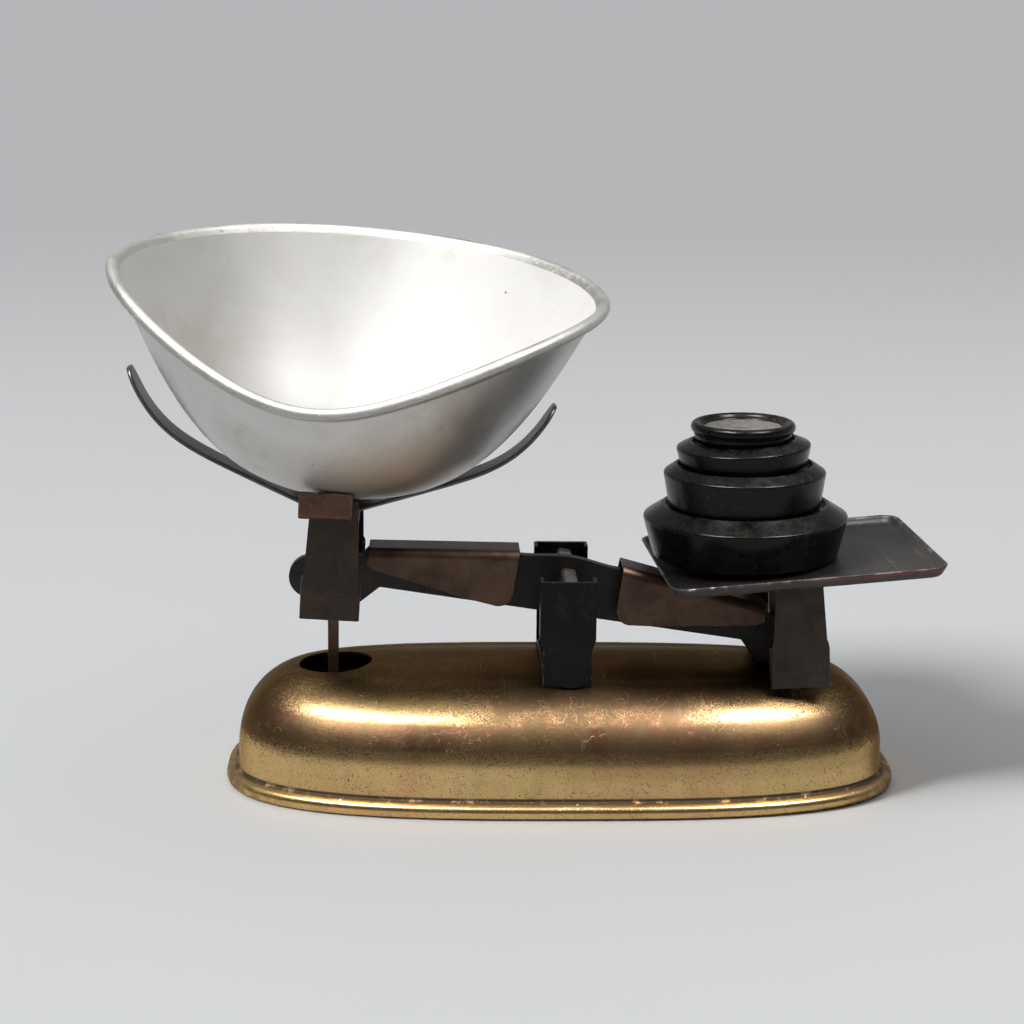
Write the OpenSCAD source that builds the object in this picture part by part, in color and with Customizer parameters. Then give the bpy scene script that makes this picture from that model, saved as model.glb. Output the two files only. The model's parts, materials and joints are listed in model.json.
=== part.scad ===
// Kitchen counter scale: an equal-arm beam on a knife edge, with a scoop pan on the left
// carrier and a tray of nested iron weights on the right carrier.
// Millimetres. +X points to the weight tray, +Y to the back, +Z up.
// The origin is the centre of the base's foot ring, on the surface that the scale stands on.

/* [Base] */
// Length of the pressed body, without its rolled foot
base_l = 300.4; // [299:0.2:304]
// Width of the pressed body, without its rolled foot
base_w = 131; // [129:0.5:132]
// Height of the dome at its centre
base_h = 56.2; // [55:0.1:56.4]
// Sheet thickness of the base
base_t = 1.2; // [0.9:0.1:1.4]
// Diameter of the two round holes that the stems pass through
stem_hole_d = 34; // [33:0.5:36]

/* [Beam] */
// Tilt of the beam at rest, weight side down (degrees)
rest_tilt = 8.4; // [7.8:0.1:8.4]
// Distance from the fulcrum edge to each end knife, along the beam
arm = 107; // [106.5:0.5:107.5]
// Height of the fulcrum knife's edge
fulcrum_z = 86; // [86:0.5:87]
// Thickness of the beam plate
beam_t = 5; // [4:0.5:5]
// Width of the folded saddle over each arm
saddle_w = 23; // [20:0.5:24]

/* [Carriers] */
// Lean of the pan carrier at rest, clockwise from the front (degrees)
left_lean = 3; // [3:0.5:4]
// Lean of the tray carrier at rest, clockwise from the front (degrees)
right_lean = -3; // [-3.5:0.5:-2]
// Distance from the middle plane to a carrier's outer face
carrier_y = 41; // [41:0.5:42]

/* [Pan] */
// Depth of the pan at its back rim
pan_back = 99.6; // [96:0.2:102]
// Depth of the pan at its pouring lip
pan_lip = 55.5; // [52:0.5:60]
// Sheet thickness of the pan
pan_t = 1.2; // [1:0.1:1.4]
// Diameter of the rolled bead round the rim
pan_bead_d = 5.6; // [5:0.1:6]

/* [Tray] */
// Length of the weight tray
tray_l = 125.8; // [124:0.2:128]
// Width of the weight tray
tray_w = 105.5; // [103:0.5:108]
// Height of the tray's rim over its floor
tray_rim = 3.8; // [3:0.1:4]

/* [Hidden] */

$fn = 64;
touch = 0.05;

brass = [0.72, 0.58, 0.30];
bronze = [0.30, 0.21, 0.15];
black = [0.10, 0.10, 0.10];
steel = [0.55, 0.54, 0.52];
iron = [0.07, 0.07, 0.07];
alu = [0.78, 0.77, 0.74];
lead = [0.50, 0.47, 0.43];

// Base: superellipse plan, a near-upright wall, an elliptic shoulder and a low crown
plan_n = 2.9;
plan_points = 80;
shoulder_z = 18;
shoulder_run = 36;
shoulder_steps = 10;
crown_rise = 3.5;
crown_steps = 3;
wall_lean = 0.5;
foot_points = [[0, 7.2], [-2, 6.9], [-4, 5.9], [-5, 4.6], [-5.3, 3.3], [-4.9, 1.7],
    [-3.9, 0.5], [-2.8, 0]];
foot_inner = [[0.4, 0], [1.2, 0.8]];
shoulder_top = base_h - crown_rise;
crown_run = base_w / 2 - wall_lean - shoulder_run;

// Fulcrum, end knives and check link
fulcrum_x = 1;
end_drop = 5;
edge_r = 0.8;
edge_gap = 0.08;
groove_r = edge_r + edge_gap;
groove_half = groove_r + 0.07;
groove_sink = 0.3;
groove_mouth = 5.9;
knife_y = 36.9;
link_fall = 57;
link_t = 2;
link_front_y = 0.4;
link_rear_y = 7.6;
link_h = 8;
link_end_r = 5;
link_boss_r = 7;
check_z = fulcrum_z - link_fall;
check_pin_r = 2.5;
check_bush_r = 4;
bush_y = 9.8;
pin_gap = 0.05;
link_pin_r = 2;
stem_eye_gap = 0.4;
hole_pitch = 106;

// Beam plate in its own frame: X along the beam, Z up, from the fulcrum edge
beam_low = -9;
pad_low = -18.5;
pad_in = 94;
pad_chamfer_x = 85;
lobe_x = 117.4;
lobe_z = -9;
lobe_r = 9.8;
hump_end_x = 24;
hump_end_z = 15.8;
hump_rise = 2.4;
saddle_in = 24;
saddle_out = 92.5;
saddle_in_z = 19.2;
saddle_out_z = 10.3;
saddle_t = 1.5;
saddle_skirt = -7.8;
saddle_corner = 7;
saddle_tail = 9.6;

// Stand and guards
stand_t = 2;
stand_y = 37.2;
stand_w = 22;
stand_top = 81;
guard_w = 25.4;
guard_top = 101.4;
guard_shoulder = 74.8;
guard_flange = 8;
guard_foot = 52;
tongue_w = 17;
tongue_shift = 1.5;
bearing_t = 5;
seat_depth = 8;
bearing_w = 13;
stand_rivet_r = 2.4;

// Carriers, with heights measured from the knife edge
sheet = 1.6;
box_w = 26.6;
box_bottom = -12.4;
box_top = 6.5;
box_flange = 6;
flange_bottom = -10.2;
neck_low_w = 24.4;
neck_top_w = 21;
left_bridge = 28.6;
left_ear = 42.4;
right_bridge = 35.6;
bridge_t = 2;
hanger_w = 16;
hanger_low = -12;
window_r = 6.2;
window_z = -4.6;
stem_w = 5;
stem_t = 3;
stem_y = 3.6;
lip_w = 23.6;
lip_x = -3.8;
lip_run = 6;
lip_low = 34.2;
lip_top = 46.8;

// Strap: a flat middle, then arms that rise in a ramp and curl up at the tips
strap_w = 19;
strap_t = 2;
strap_flat = 10;
strap_reach = 98;
strap_ramp = 0.38;
strap_curl = 23;
strap_power = 7;
strap_steps = 22;
strap_lean = 5;
strap_shift = -2;
strap_back = 4;
strap_rise = neck_top_w / 2 * tan(strap_lean - left_lean) + touch;
rivet_r = 2;

// Tray
tray_x = 105.5;
tray_z = 103.2;
tray_lean = -4.4;
tray_turn = 3;
tray_floor = 1.6;
tray_wall = 2.2;
tray_tuck = 2.6;
tray_brim = 0.4;
tray_corner = 9;
tray_rivet_y = 20;

// Pan: a bowl of revolution whose rim height follows a cosine series round the bowl
pan_x = -101.7;
pan_y = 5;
pan_z = 134.95;
pan_tilt = 4.8;
pan_pitch = 3.3;
pan_turn = -10.5;
pan_round = 91;
pan_grip = 2;
pan_flare = 0.306;
pan_segments = 72;
pan_rings = 13;
bead_steps = 8;
rim_waves = [0.398, 0.208, 0.102, 0.030];

// Weights: centre, height of the seat, and tilt
weight_x = 85.3;
weight_y = 5.4;
weight_z = 104.5;
stack_lean = -1.2;

function beam_point(x, z) = [
    fulcrum_x + x * cos(rest_tilt) + z * sin(rest_tilt),
    fulcrum_z - x * sin(rest_tilt) + z * cos(rest_tilt)
];
left_pivot = beam_point(-arm, -end_drop);
right_pivot = beam_point(arm, -end_drop);

// ---- Shared shapes -------------------------------------------------------------------

function sign_power(v, p) = sign(v) * pow(abs(v), p);

function plan_ring(inset, scale, z) = [for (i = [0:plan_points - 1])
    let (a = 360 * i / plan_points)
    [scale * (base_l / 2 - inset) * sign_power(cos(a), 2 / plan_n),
     scale * (base_w / 2 - inset) * sign_power(sin(a), 2 / plan_n), z]];

// Closed skin over a list of rings, with a pole at each end
module ring_skin(rings, first_pole, last_pole) {
    n = len(rings[0]);
    m = len(rings);
    points = concat([first_pole, last_pole], [for (r = rings) for (p = r) p]);
    first_fan = [for (i = [0:n - 1]) [0, 2 + (i + 1) % n, 2 + i]];
    walls = [for (k = [0:m - 2]) for (i = [0:n - 1]) let (a = 2 + k * n, b = a + n, j = (i + 1) % n)
        [a + i, a + j, b + j, b + i]];
    last_fan = [for (i = [0:n - 1]) let (a = 2 + (m - 1) * n) [1, a + i, a + (i + 1) % n]];
    polyhedron(points = points, faces = concat(first_fan, walls, last_fan), convexity = 8);
}

// Prism with its outline in X and Z, between two Y positions
module slab(y0, y1) {
    translate([0, y1, 0])
        rotate([90, 0, 0])
            linear_extrude(y1 - y0)
                children();
}

// Prism with its outline in Y and Z, between two X positions
module cross_slab(x0, x1) {
    translate([x0, 0, 0])
        rotate([90, 0, 90])
            linear_extrude(x1 - x0)
                children();
}

// Cylinder along Y
module bar(r, y0, y1) {
    translate([0, y1, 0])
        rotate([90, 0, 0])
            cylinder(r = r, h = y1 - y0);
}

module box(x0, x1, y0, y1, z0, z1) {
    translate([x0, y0, z0])
        cube([x1 - x0, y1 - y0, z1 - z0]);
}

// The child and its copy behind the middle plane
module both_sides() {
    children();
    mirror([0, 1, 0])
        children();
}

module at_beam() {
    translate([fulcrum_x, 0, fulcrum_z])
        rotate([0, rest_tilt, 0])
            children();
}

module at_link() {
    translate([fulcrum_x, 0, check_z])
        rotate([0, rest_tilt, 0])
            children();
}

module at_pivot(pivot, lean) {
    translate([pivot[0], 0, pivot[1]])
        rotate([0, lean, 0])
            children();
}

// ---- Base and stand ------------------------------------------------------------------

function shoulder_ring(k, t) = let (a = 90 * k / shoulder_steps)
    plan_ring(wall_lean + shoulder_run * (1 - cos(a)) + t * cos(a),
        1, shoulder_z + (shoulder_top - shoulder_z) * sin(a) - t * sin(a));

function crown_ring(k, t) = let (s = 1 - k / (crown_steps + 1))
    plan_ring(wall_lean + shoulder_run, s, shoulder_top + crown_rise * (1 - s * s) - t);

// Height of the dome's outer skin across its middle
function dome_z(y) = abs(y) < crown_run
    ? shoulder_top + crown_rise * (1 - pow(y / crown_run, 2))
    : shoulder_z + (shoulder_top - shoulder_z)
        * sqrt(1 - pow(1 - (base_w / 2 - abs(y) - wall_lean) / shoulder_run, 2));

module base_shell() {
    outer = concat(
        [for (k = [crown_steps:-1:1]) crown_ring(k, 0)],
        [for (k = [shoulder_steps:-1:0]) shoulder_ring(k, 0)],
        [for (p = foot_points) plan_ring(p[0], 1, p[1])]);
    inner = concat(
        [for (p = foot_inner) plan_ring(p[0], 1, p[1])],
        [for (k = [0:shoulder_steps]) shoulder_ring(k, base_t)],
        [for (k = [1:crown_steps]) crown_ring(k, base_t)]);
    color(brass)
        difference() {
            ring_skin(concat(outer, inner), [0, 0, base_h], [0, 0, base_h - base_t]);
            for (side = [-1, 1])
                translate([fulcrum_x + side * hole_pitch, 0, shoulder_z + 10])
                    cylinder(d = stem_hole_d, h = base_h);
            stand_rivet_places(shoulder_z + 10)
                cylinder(r = stand_rivet_r, h = base_h);
        }
}

module stand_rivet_places(z) {
    for (x = [-7, 7], y = [-20, 20])
        translate([fulcrum_x + x, y, z])
            children();
}

// Strip over the crown, with two uprights that carry the bearings
module fulcrum_stand() {
    reach = stand_y - stand_t;
    steps = 12;
    foot = [for (i = [0:steps]) let (y = -stand_y + 2 * stand_y * i / steps)
        [y, dome_z(y) + touch]];
    top = [for (i = [steps:-1:0]) let (y = -stand_y + 2 * stand_y * i / steps)
        [y, dome_z(y) + stand_t]];
    color(black)
        difference() {
            union() {
                cross_slab(fulcrum_x - stand_w / 2, fulcrum_x + stand_w / 2)
                    polygon(concat(foot, top));
                both_sides()
                    box(fulcrum_x - stand_w / 2, fulcrum_x + stand_w / 2,
                        reach, stand_y, dome_z(stand_y) + 1, stand_top);
            }
            stand_rivet_places(shoulder_z + 10)
                cylinder(r = stand_rivet_r, h = base_h);
        }
}

// Channel over the bearing, narrowing to a tongue that ends above the dome's shoulder
module guard() {
    y0 = stand_y + touch;
    y1 = y0 + stand_t;
    half = guard_w / 2;
    end_r = tongue_w / 2;
    slab(y0, y1)
        polygon([[-half, guard_top], [half, guard_top], [half, guard_shoulder],
            [tongue_shift + end_r + 1, guard_shoulder - 5],
            [tongue_shift + end_r, guard_foot + end_r],
            [tongue_shift - end_r, guard_foot + end_r],
            [-half + 1.5, guard_shoulder - 5], [-half, guard_shoulder]]);
    translate([tongue_shift, 0, guard_foot + end_r])
        bar(end_r, y0, y1);
    for (x = [-half, half - sheet])
        box(x, x + sheet, y0 - guard_flange, y0, guard_shoulder, guard_top);
}

module front_guard() {
    color(black)
        translate([fulcrum_x, 0, 0])
            mirror([0, 1, 0])
                guard();
}

module rear_guard() {
    color(black)
        translate([fulcrum_x, 0, 0])
            guard();
}

// Steel block with a V groove that holds the knife from below
module fulcrum_bearing() {
    y1 = stand_y - stand_t;
    low = -10;
    high = 4.4;
    translate([fulcrum_x, 0, fulcrum_z])
        difference() {
            slab(y1 - bearing_t, y1)
                polygon([[-bearing_w / 2, low], [bearing_w / 2, low], [bearing_w / 2, high],
                    [groove_mouth, high], [groove_half, -groove_sink],
                    [-groove_half, -groove_sink], [-groove_mouth, high],
                    [-bearing_w / 2, high]]);
            bar(groove_r, 0, stand_y);
        }
}

module front_fulcrum_bearing() {
    color(steel)
        mirror([0, 1, 0])
            fulcrum_bearing();
}

module rear_fulcrum_bearing() {
    color(steel)
        fulcrum_bearing();
}

// Four rivets through the stand, the dome and the check bracket
module stand_rivets() {
    head_r = 4;
    head_h = 1.6;
    low = 50.6;
    color(black)
        stand_rivet_places(0) {
            translate([0, 0, low])
                cylinder(r = stand_rivet_r, h = dome_z(20) + stand_t + 0.6 - low);
            translate([0, 0, dome_z(20) + stand_t + 0.6])
                cylinder(r1 = head_r, r2 = head_r - 1, h = head_h);
        }
}

// Plate under the dome with two legs that carry the check link's pin
module check_bracket() {
    leg_y = 10.2;
    half = 25;
    steps = 10;
    low = check_z - 7;
    under = [for (i = [0:steps]) let (y = -half + 2 * half * i / steps)
        [y, dome_z(y) - base_t - 2 * touch - sheet]];
    over = [for (i = [steps:-1:0]) let (y = -half + 2 * half * i / steps)
        [y, dome_z(y) - base_t - 2 * touch]];
    color(black)
        difference() {
            union() {
                cross_slab(fulcrum_x - stand_w / 2, fulcrum_x + stand_w / 2)
                    polygon(concat(under, over));
                both_sides()
                    box(fulcrum_x - 7, fulcrum_x + 7, leg_y, leg_y + sheet,
                        low, dome_z(leg_y) - base_t - sheet);
            }
            translate([fulcrum_x, 0, check_z])
                bar(check_pin_r, -20, 20);
            stand_rivet_places(shoulder_z + 10)
                cylinder(r = stand_rivet_r, h = base_h);
        }
}

module check_pin() {
    head_y = 11.85;
    color(steel)
        translate([fulcrum_x, 0, check_z]) {
            bar(check_pin_r, -head_y, head_y);
            both_sides()
                bar(check_pin_r + 1.5, head_y, head_y + 1.4);
        }
}

// ---- Beam ----------------------------------------------------------------------------

// Knife along Y: a rounded edge at the origin and a body above it
module knife(half, body, y) {
    bar(edge_r, -y, y);
    slab(-y, y)
        polygon([[-edge_r, 0], [-half, body * 0.42], [-half, body - 1], [1 - half, body],
            [half - 1, body], [half, body - 1], [half, body * 0.42], [edge_r, 0]]);
}

module centre_knife(y) {
    knife(3.5, 12.6, y);
}

module end_knife(side, y) {
    translate([side * arm, 0, -end_drop])
        mirror([0, 0, 1])
            knife(3.1, 9, y);
}

function saddle_line(x) = saddle_in_z
    + (saddle_out_z - saddle_in_z) * (x - saddle_in) / (saddle_out - saddle_in);

module half_beam() {
    under_in = 34;
    steps = 8;
    hump = [for (i = [0:steps])
        [hump_end_x * i / steps, hump_end_z + hump_rise * (1 + cos(180 * i / steps)) / 2]];
    slab(-beam_t / 2, beam_t / 2)
        polygon(concat([[-1, hump_end_z + hump_rise]], hump, [
            [under_in, saddle_line(under_in) - saddle_t - touch],
            [saddle_out, saddle_out_z - saddle_t - touch],
            [saddle_out + 3, 4.5], [arm + 4, 3], [lobe_x, lobe_z + lobe_r],
            [lobe_x, lobe_z - lobe_r], [arm - 3, pad_low], [pad_in, pad_low],
            [pad_chamfer_x, beam_low], [-1, beam_low]]));
    translate([lobe_x, 0, lobe_z])
        bar(lobe_r, -beam_t / 2, beam_t / 2);
}

module beam_plate() {
    color(black)
        at_beam()
            difference() {
                union() {
                    half_beam();
                    mirror([1, 0, 0])
                        half_beam();
                }
                centre_knife(beam_t);
                end_knife(-1, beam_t);
                end_knife(1, beam_t);
            }
}

// Folded cover: full depth near the fulcrum, its skirts rising to a shallow tail
module saddle() {
    half = saddle_w / 2;
    tail_z = saddle_out_z - saddle_tail;
    corner = saddle_corner;
    difference() {
        union() {
            slab(-half, half)
                polygon([[saddle_in, saddle_in_z], [saddle_out, saddle_out_z],
                    [saddle_out, tail_z + 2], [saddle_out - 3, tail_z],
                    [saddle_in + 3 * corner, saddle_skirt + 1.5],
                    [saddle_in + corner, saddle_skirt],
                    [saddle_in + corner, saddle_skirt + corner],
                    [saddle_in, saddle_skirt + corner]]);
            translate([saddle_in + corner, 0, saddle_skirt + corner])
                bar(corner, -half, half);
        }
        slab(saddle_t - half, half - saddle_t)
            polygon([[saddle_in - 1, saddle_line(saddle_in - 1) - saddle_t],
                [saddle_out + 1, saddle_line(saddle_out + 1) - saddle_t],
                [saddle_out + 1, -30], [saddle_in - 1, -30]]);
    }
}

module right_saddle() {
    color(bronze)
        at_beam()
            saddle();
}

module left_saddle() {
    color(bronze)
        at_beam()
            mirror([1, 0, 0])
                saddle();
}

module fulcrum_knife() {
    color(steel)
        at_beam()
            centre_knife(knife_y);
}

module left_knife() {
    color(steel)
        at_beam()
            end_knife(-1, knife_y);
}

module right_knife() {
    color(steel)
        at_beam()
            end_knife(1, knife_y);
}

// ---- Carriers ------------------------------------------------------------------------

// Open stirrup: front and rear channel plates joined by a bridge at the top
module carrier(bridge, ear) {
    y0 = carrier_y - sheet;
    low = box_w / 2;
    both_sides() {
        slab(y0, carrier_y)
            polygon([[-low, box_bottom], [low, box_bottom], [low, box_top - 1],
                [neck_low_w / 2, box_top + 1], [neck_top_w / 2, ear],
                [-neck_top_w / 2, ear], [-neck_low_w / 2, box_top + 1],
                [-low, box_top - 1]]);
        for (x = [-low, low - sheet])
            box(x, x + sheet, y0 - box_flange, y0, flange_bottom, box_top - 1);
    }
    box(-neck_top_w / 2, neck_top_w / 2, -y0, y0, bridge - bridge_t, bridge);
}

// Steel blocks on the plates' inner faces, with an inverted V over the knife
module carrier_bearings() {
    y1 = carrier_y - sheet;
    low = -4.4;
    high = 8;
    both_sides()
        difference() {
            slab(y1 - seat_depth, y1)
                polygon([[-bearing_w / 2, low], [-groove_mouth, low],
                    [-groove_half, groove_sink], [groove_half, groove_sink],
                    [groove_mouth, low], [bearing_w / 2, low],
                    [bearing_w / 2, high], [-bearing_w / 2, high]]);
            bar(groove_r, 0, carrier_y);
        }
}

// A point of a leaning outline, given in the leaning frame
function leaned(x, z, lean) = [x * cos(lean) + z * sin(lean), z * cos(lean) - x * sin(lean)];

// Flat hanger with a window round the knife, and a rod down to the check link.
// The hanger leans with its carrier; the rod and its eye stay upright.
module stem(pivot, lean, bridge) {
    top = bridge - bridge_t - touch;
    half = hanger_w / 2;
    neck = stem_w / 2 + 1;
    rod_x = hanger_low * sin(lean);
    rod_top = hanger_low - 4.5;
    rod_low = 3.5 - link_fall;
    y1 = stem_y + stem_t;
    color(bronze)
        translate([pivot[0], 0, pivot[1]])
            difference() {
                union() {
                    slab(stem_y, y1)
                        polygon([leaned(-half, top, lean), leaned(half, top, lean),
                            leaned(half, hanger_low + 3, lean), leaned(neck, hanger_low - 3, lean),
                            [rod_x + stem_w / 2, rod_top], [rod_x + stem_w / 2, rod_low],
                            [rod_x - stem_w / 2, rod_low], [rod_x - stem_w / 2, rod_top],
                            leaned(-neck, hanger_low - 3, lean),
                            leaned(-half, hanger_low + 3, lean)]);
                    translate([0, 0, -link_fall])
                        bar(link_end_r, stem_y, y1);
                }
                translate([window_z * sin(lean), 0, window_z * cos(lean)])
                    bar(window_r, stem_y - 1, y1 + 1);
                translate([0, 0, -link_fall])
                    bar(link_pin_r + stem_eye_gap, stem_y - 1, y1 + 1);
            }
}

module left_carrier() {
    color(bronze)
        difference() {
            at_pivot(left_pivot, left_lean)
                carrier(left_bridge, left_ear);
            strap_rivet_places()
                cylinder(r = rivet_r, h = 20, center = true);
        }
}

module left_bearings() {
    color(steel)
        at_pivot(left_pivot, left_lean)
            carrier_bearings();
}

// Curled seat: a leaf on the plate's outer face, a trough and an outer leaf
module seat_lip() {
    y0 = carrier_y + touch;
    y1 = y0 + lip_run;
    r = lip_run / 2;
    at_pivot(left_pivot, left_lean)
        translate([lip_x, 0, 0]) {
            box(-lip_w / 2, lip_w / 2, y0, y0 + sheet, lip_low + r, left_ear);
            box(-lip_w / 2, lip_w / 2, y1 - sheet, y1, lip_low + r, lip_top);
            difference() {
                translate([-lip_w / 2, y0 + r, lip_low + r])
                    rotate([0, 90, 0])
                        cylinder(r = r, h = lip_w);
                translate([-lip_w / 2 - 1, y0 + r, lip_low + r])
                    rotate([0, 90, 0])
                        cylinder(r = r - sheet, h = lip_w + 2);
                box(-lip_w, lip_w, y0 + sheet, y1 - sheet, lip_low + r, lip_top);
            }
        }
}

module front_seat_lip() {
    color(bronze)
        mirror([0, 1, 0])
            seat_lip();
}

module rear_seat_lip() {
    color(bronze)
        seat_lip();
}

function strap_z(x) = x < strap_flat ? 0
    : strap_ramp * (x - strap_flat)
        + strap_curl * pow((x - strap_flat) / (strap_reach - strap_flat), strap_power);

function strap_slope(x) = x < strap_flat ? 0
    : strap_ramp + strap_curl * strap_power / (strap_reach - strap_flat)
        * pow((x - strap_flat) / (strap_reach - strap_flat), strap_power - 1);

module strap_arm() {
    xs = concat([0, strap_flat], [for (i = [1:strap_steps])
        strap_flat + (strap_reach - strap_flat) * i / strap_steps]);
    low = [for (x = xs) [x, strap_z(x)]];
    high = [for (i = [len(xs) - 1:-1:0]) let (x = xs[i], s = strap_slope(x), n = sqrt(1 + s * s))
        [x - strap_t * s / n, strap_z(x) + strap_t / n]];
    tip = strap_z(strap_reach) + 1 - strap_w / 2;
    intersection() {
        slab(-strap_w / 2, strap_w / 2)
            polygon(concat(low, high));
        union() {
            box(-1, strap_reach + 1, -strap_w / 2, strap_w / 2, -1, tip);
            translate([-1, 0, tip])
                rotate([0, 90, 0])
                    cylinder(r = strap_w / 2, h = strap_reach + 2);
        }
    }
}

module at_strap() {
    at_pivot(left_pivot, left_lean)
        translate([0, strap_back, left_bridge + strap_rise])
            rotate([0, strap_lean - left_lean, 0])
                children();
}

module strap_rivet_places() {
    for (y = [-6, 6])
        at_strap()
            translate([0, y, 0])
                children();
}

module pan_strap() {
    color(black)
        difference() {
            at_strap()
                translate([strap_shift, 0, 0]) {
                    strap_arm();
                    mirror([1, 0, 0])
                        strap_arm();
                }
            strap_rivet_places()
                cylinder(r = rivet_r, h = 20, center = true);
        }
}

module strap_rivets() {
    color(steel)
        strap_rivet_places() {
            translate([0, 0, -bridge_t])
                cylinder(r = rivet_r, h = bridge_t + strap_t);
            translate([0, 0, strap_t])
                cylinder(r1 = rivet_r + 1.4, r2 = rivet_r + 0.4, h = 1.2);
        }
}

module left_stem() {
    stem(left_pivot, left_lean, left_bridge);
}

module right_carrier() {
    color(bronze)
        difference() {
            at_pivot(right_pivot, right_lean)
                carrier(right_bridge, right_bridge);
            tray_rivet_places()
                cylinder(r = rivet_r, h = 20, center = true);
        }
}

module right_bearings() {
    color(steel)
        at_pivot(right_pivot, right_lean)
            carrier_bearings();
}

module right_stem() {
    stem(right_pivot, right_lean, right_bridge);
}

// ---- Tray ----------------------------------------------------------------------------

// Plate with rounded corners, inset from the tray's outer edge
module round_plate(inset, z0, z1) {
    l = tray_l / 2 - inset;
    w = tray_w / 2 - inset;
    r = tray_corner - inset;
    box(r - l, l - r, -w, w, z0, z1);
    box(-l, l, r - w, w - r, z0, z1);
    for (x = [r - l, l - r], y = [r - w, w - r])
        translate([x, y, z0])
            cylinder(r = r, h = z1 - z0);
}

module at_tray() {
    translate([tray_x, 0, tray_z])
        rotate([0, tray_lean, tray_turn])
            children();
}

module tray_rivet_places() {
    at_tray()
        for (y = [-tray_rivet_y, tray_rivet_y])
            translate([0, y, 0])
                children();
}

module weight_tray() {
    color(black)
        difference() {
            at_tray()
                difference() {
                    union() {
                        round_plate(tray_tuck, -tray_floor, 0);
                        round_plate(0, -tray_brim, tray_rim);
                    }
                    round_plate(tray_wall, 0, tray_rim + 1);
                }
            tray_rivet_places()
                cylinder(r = rivet_r, h = 20, center = true);
        }
}

module tray_rivets() {
    color(steel)
        tray_rivet_places() {
            translate([0, 0, -tray_floor - bridge_t - 1])
                cylinder(r = rivet_r, h = tray_floor + bridge_t + 1);
            cylinder(r1 = rivet_r + 1.4, r2 = rivet_r + 0.6, h = 0.5);
        }
}

// ---- Check link ----------------------------------------------------------------------

module link_strip(y0) {
    color(black)
        at_link()
            difference() {
                union() {
                    bar(link_boss_r, y0, y0 + link_t);
                    slab(y0, y0 + link_t)
                        polygon([[-arm, link_h / 2 - end_drop], [0, link_h / 2],
                            [arm, link_h / 2 - end_drop], [arm, -link_h / 2 - end_drop],
                            [0, -link_h / 2], [-arm, -link_h / 2 - end_drop]]);
                    for (side = [-1, 1])
                        translate([side * arm, 0, -end_drop])
                            bar(link_end_r, y0, y0 + link_t);
                }
                bar(check_bush_r, y0 - 1, y0 + link_t + 1);
                for (side = [-1, 1])
                    translate([side * arm, 0, -end_drop])
                        bar(link_pin_r, y0 - 1, y0 + link_t + 1);
            }
}

module check_link_front() {
    link_strip(link_front_y);
}

module check_link_rear() {
    link_strip(link_rear_y);
}

module check_bush() {
    color(steel)
        at_link()
            difference() {
                bar(check_bush_r, -bush_y, bush_y);
                bar(check_pin_r + pin_gap, -10, 20);
            }
}

module link_pin(side) {
    y0 = link_front_y;
    y1 = link_rear_y + link_t;
    color(steel)
        at_link()
            translate([side * arm, 0, -end_drop]) {
                bar(link_pin_r, y0, y1);
                bar(link_pin_r + 1.4, y0 - 1.2, y0);
                bar(link_pin_r + 1.4, y1, y1 + 1.2);
            }
}

module left_link_pin() {
    link_pin(-1);
}

module right_link_pin() {
    link_pin(1);
}

// ---- Pan -----------------------------------------------------------------------------

function bowl_r(h) = pan_round * (1 - exp(-pan_grip * sqrt(h / pan_round))) + pan_flare * h;

function bowl_slope(h) = exp(-pan_grip * sqrt(h / pan_round)) * pan_grip / 2
    * sqrt(pan_round / h) + pan_flare;

// Rim depth at an angle from the pouring lip
function rim_h(d) = pan_lip + (pan_back - pan_lip) * (
    rim_waves[0] * (1 - cos(d)) + rim_waves[1] * (1 - cos(2 * d))
    + rim_waves[2] * (1 - cos(3 * d)) + rim_waves[3] * (1 - cos(4 * d)));

// One meridian, from the outer skin near the pole over the bead to the inner skin
function meridian(a) = let (
        h = rim_h(a + 90 - pan_turn),
        hs = [for (k = [1:pan_rings]) h * pow(k / pan_rings, 2)],
        outer = [for (z = hs) [bowl_r(z), z]],
        rim = outer[pan_rings - 1],
        b = pan_bead_d / 2,
        bead = [for (k = [0:bead_steps]) let (t = -100 + 250 * k / bead_steps)
            [rim[0] - pan_t / 2 + b + b * cos(t) - 0.4, rim[1] + b * sin(t)]],
        inner = [for (k = [pan_rings - 1:-1:0]) let (
                z = hs[k] * (k == pan_rings - 1 ? 0.985 : 1),
                s = bowl_slope(z), n = sqrt(1 + s * s))
            [bowl_r(z) - pan_t / n, z + pan_t * s / n]],
        line = concat([for (k = [0:pan_rings - 2]) outer[k]], bead, inner)
    ) [for (p = line) [p[0] * cos(a), p[0] * sin(a), p[1]]];

module pan_bowl() {
    lines = [for (i = [0:pan_segments - 1]) meridian(360 * i / pan_segments)];
    rings = [for (k = [len(lines[0]) - 1:-1:0]) [for (i = [0:pan_segments - 1]) lines[i][k]]];
    color(alu)
        translate([pan_x, pan_y, pan_z])
            rotate([0, pan_tilt, 0])
                rotate([pan_pitch, 0, 0])
                    ring_skin(rings, [0, 0, pan_t], [0, 0, 0]);
}

// ---- Weights -------------------------------------------------------------------------

// Cast disc: a wall that widens upward, a chamfer and a recess for the next weight
module cast_weight(low_r, belly_r, belly_z, rim_r, height, recess_r, recess_d, plug_r) {
    edge = 0.7;
    hollow_r = low_r - 6;
    hollow_d = 1.6;
    plug_d = 5;
    rotate_extrude()
        polygon([[0, hollow_d + plug_d], [plug_r, hollow_d + plug_d], [plug_r, hollow_d],
            [hollow_r, hollow_d], [hollow_r, 0], [low_r - edge, 0], [low_r, edge],
            [belly_r - edge / 2, belly_z - 1.2], [belly_r, belly_z - 0.2],
            [belly_r - edge, belly_z + edge], [rim_r + edge, height - 0.2], [rim_r, height],
            [recess_r, height], [recess_r, height - recess_d], [0, height - recess_d]]);
}

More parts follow.
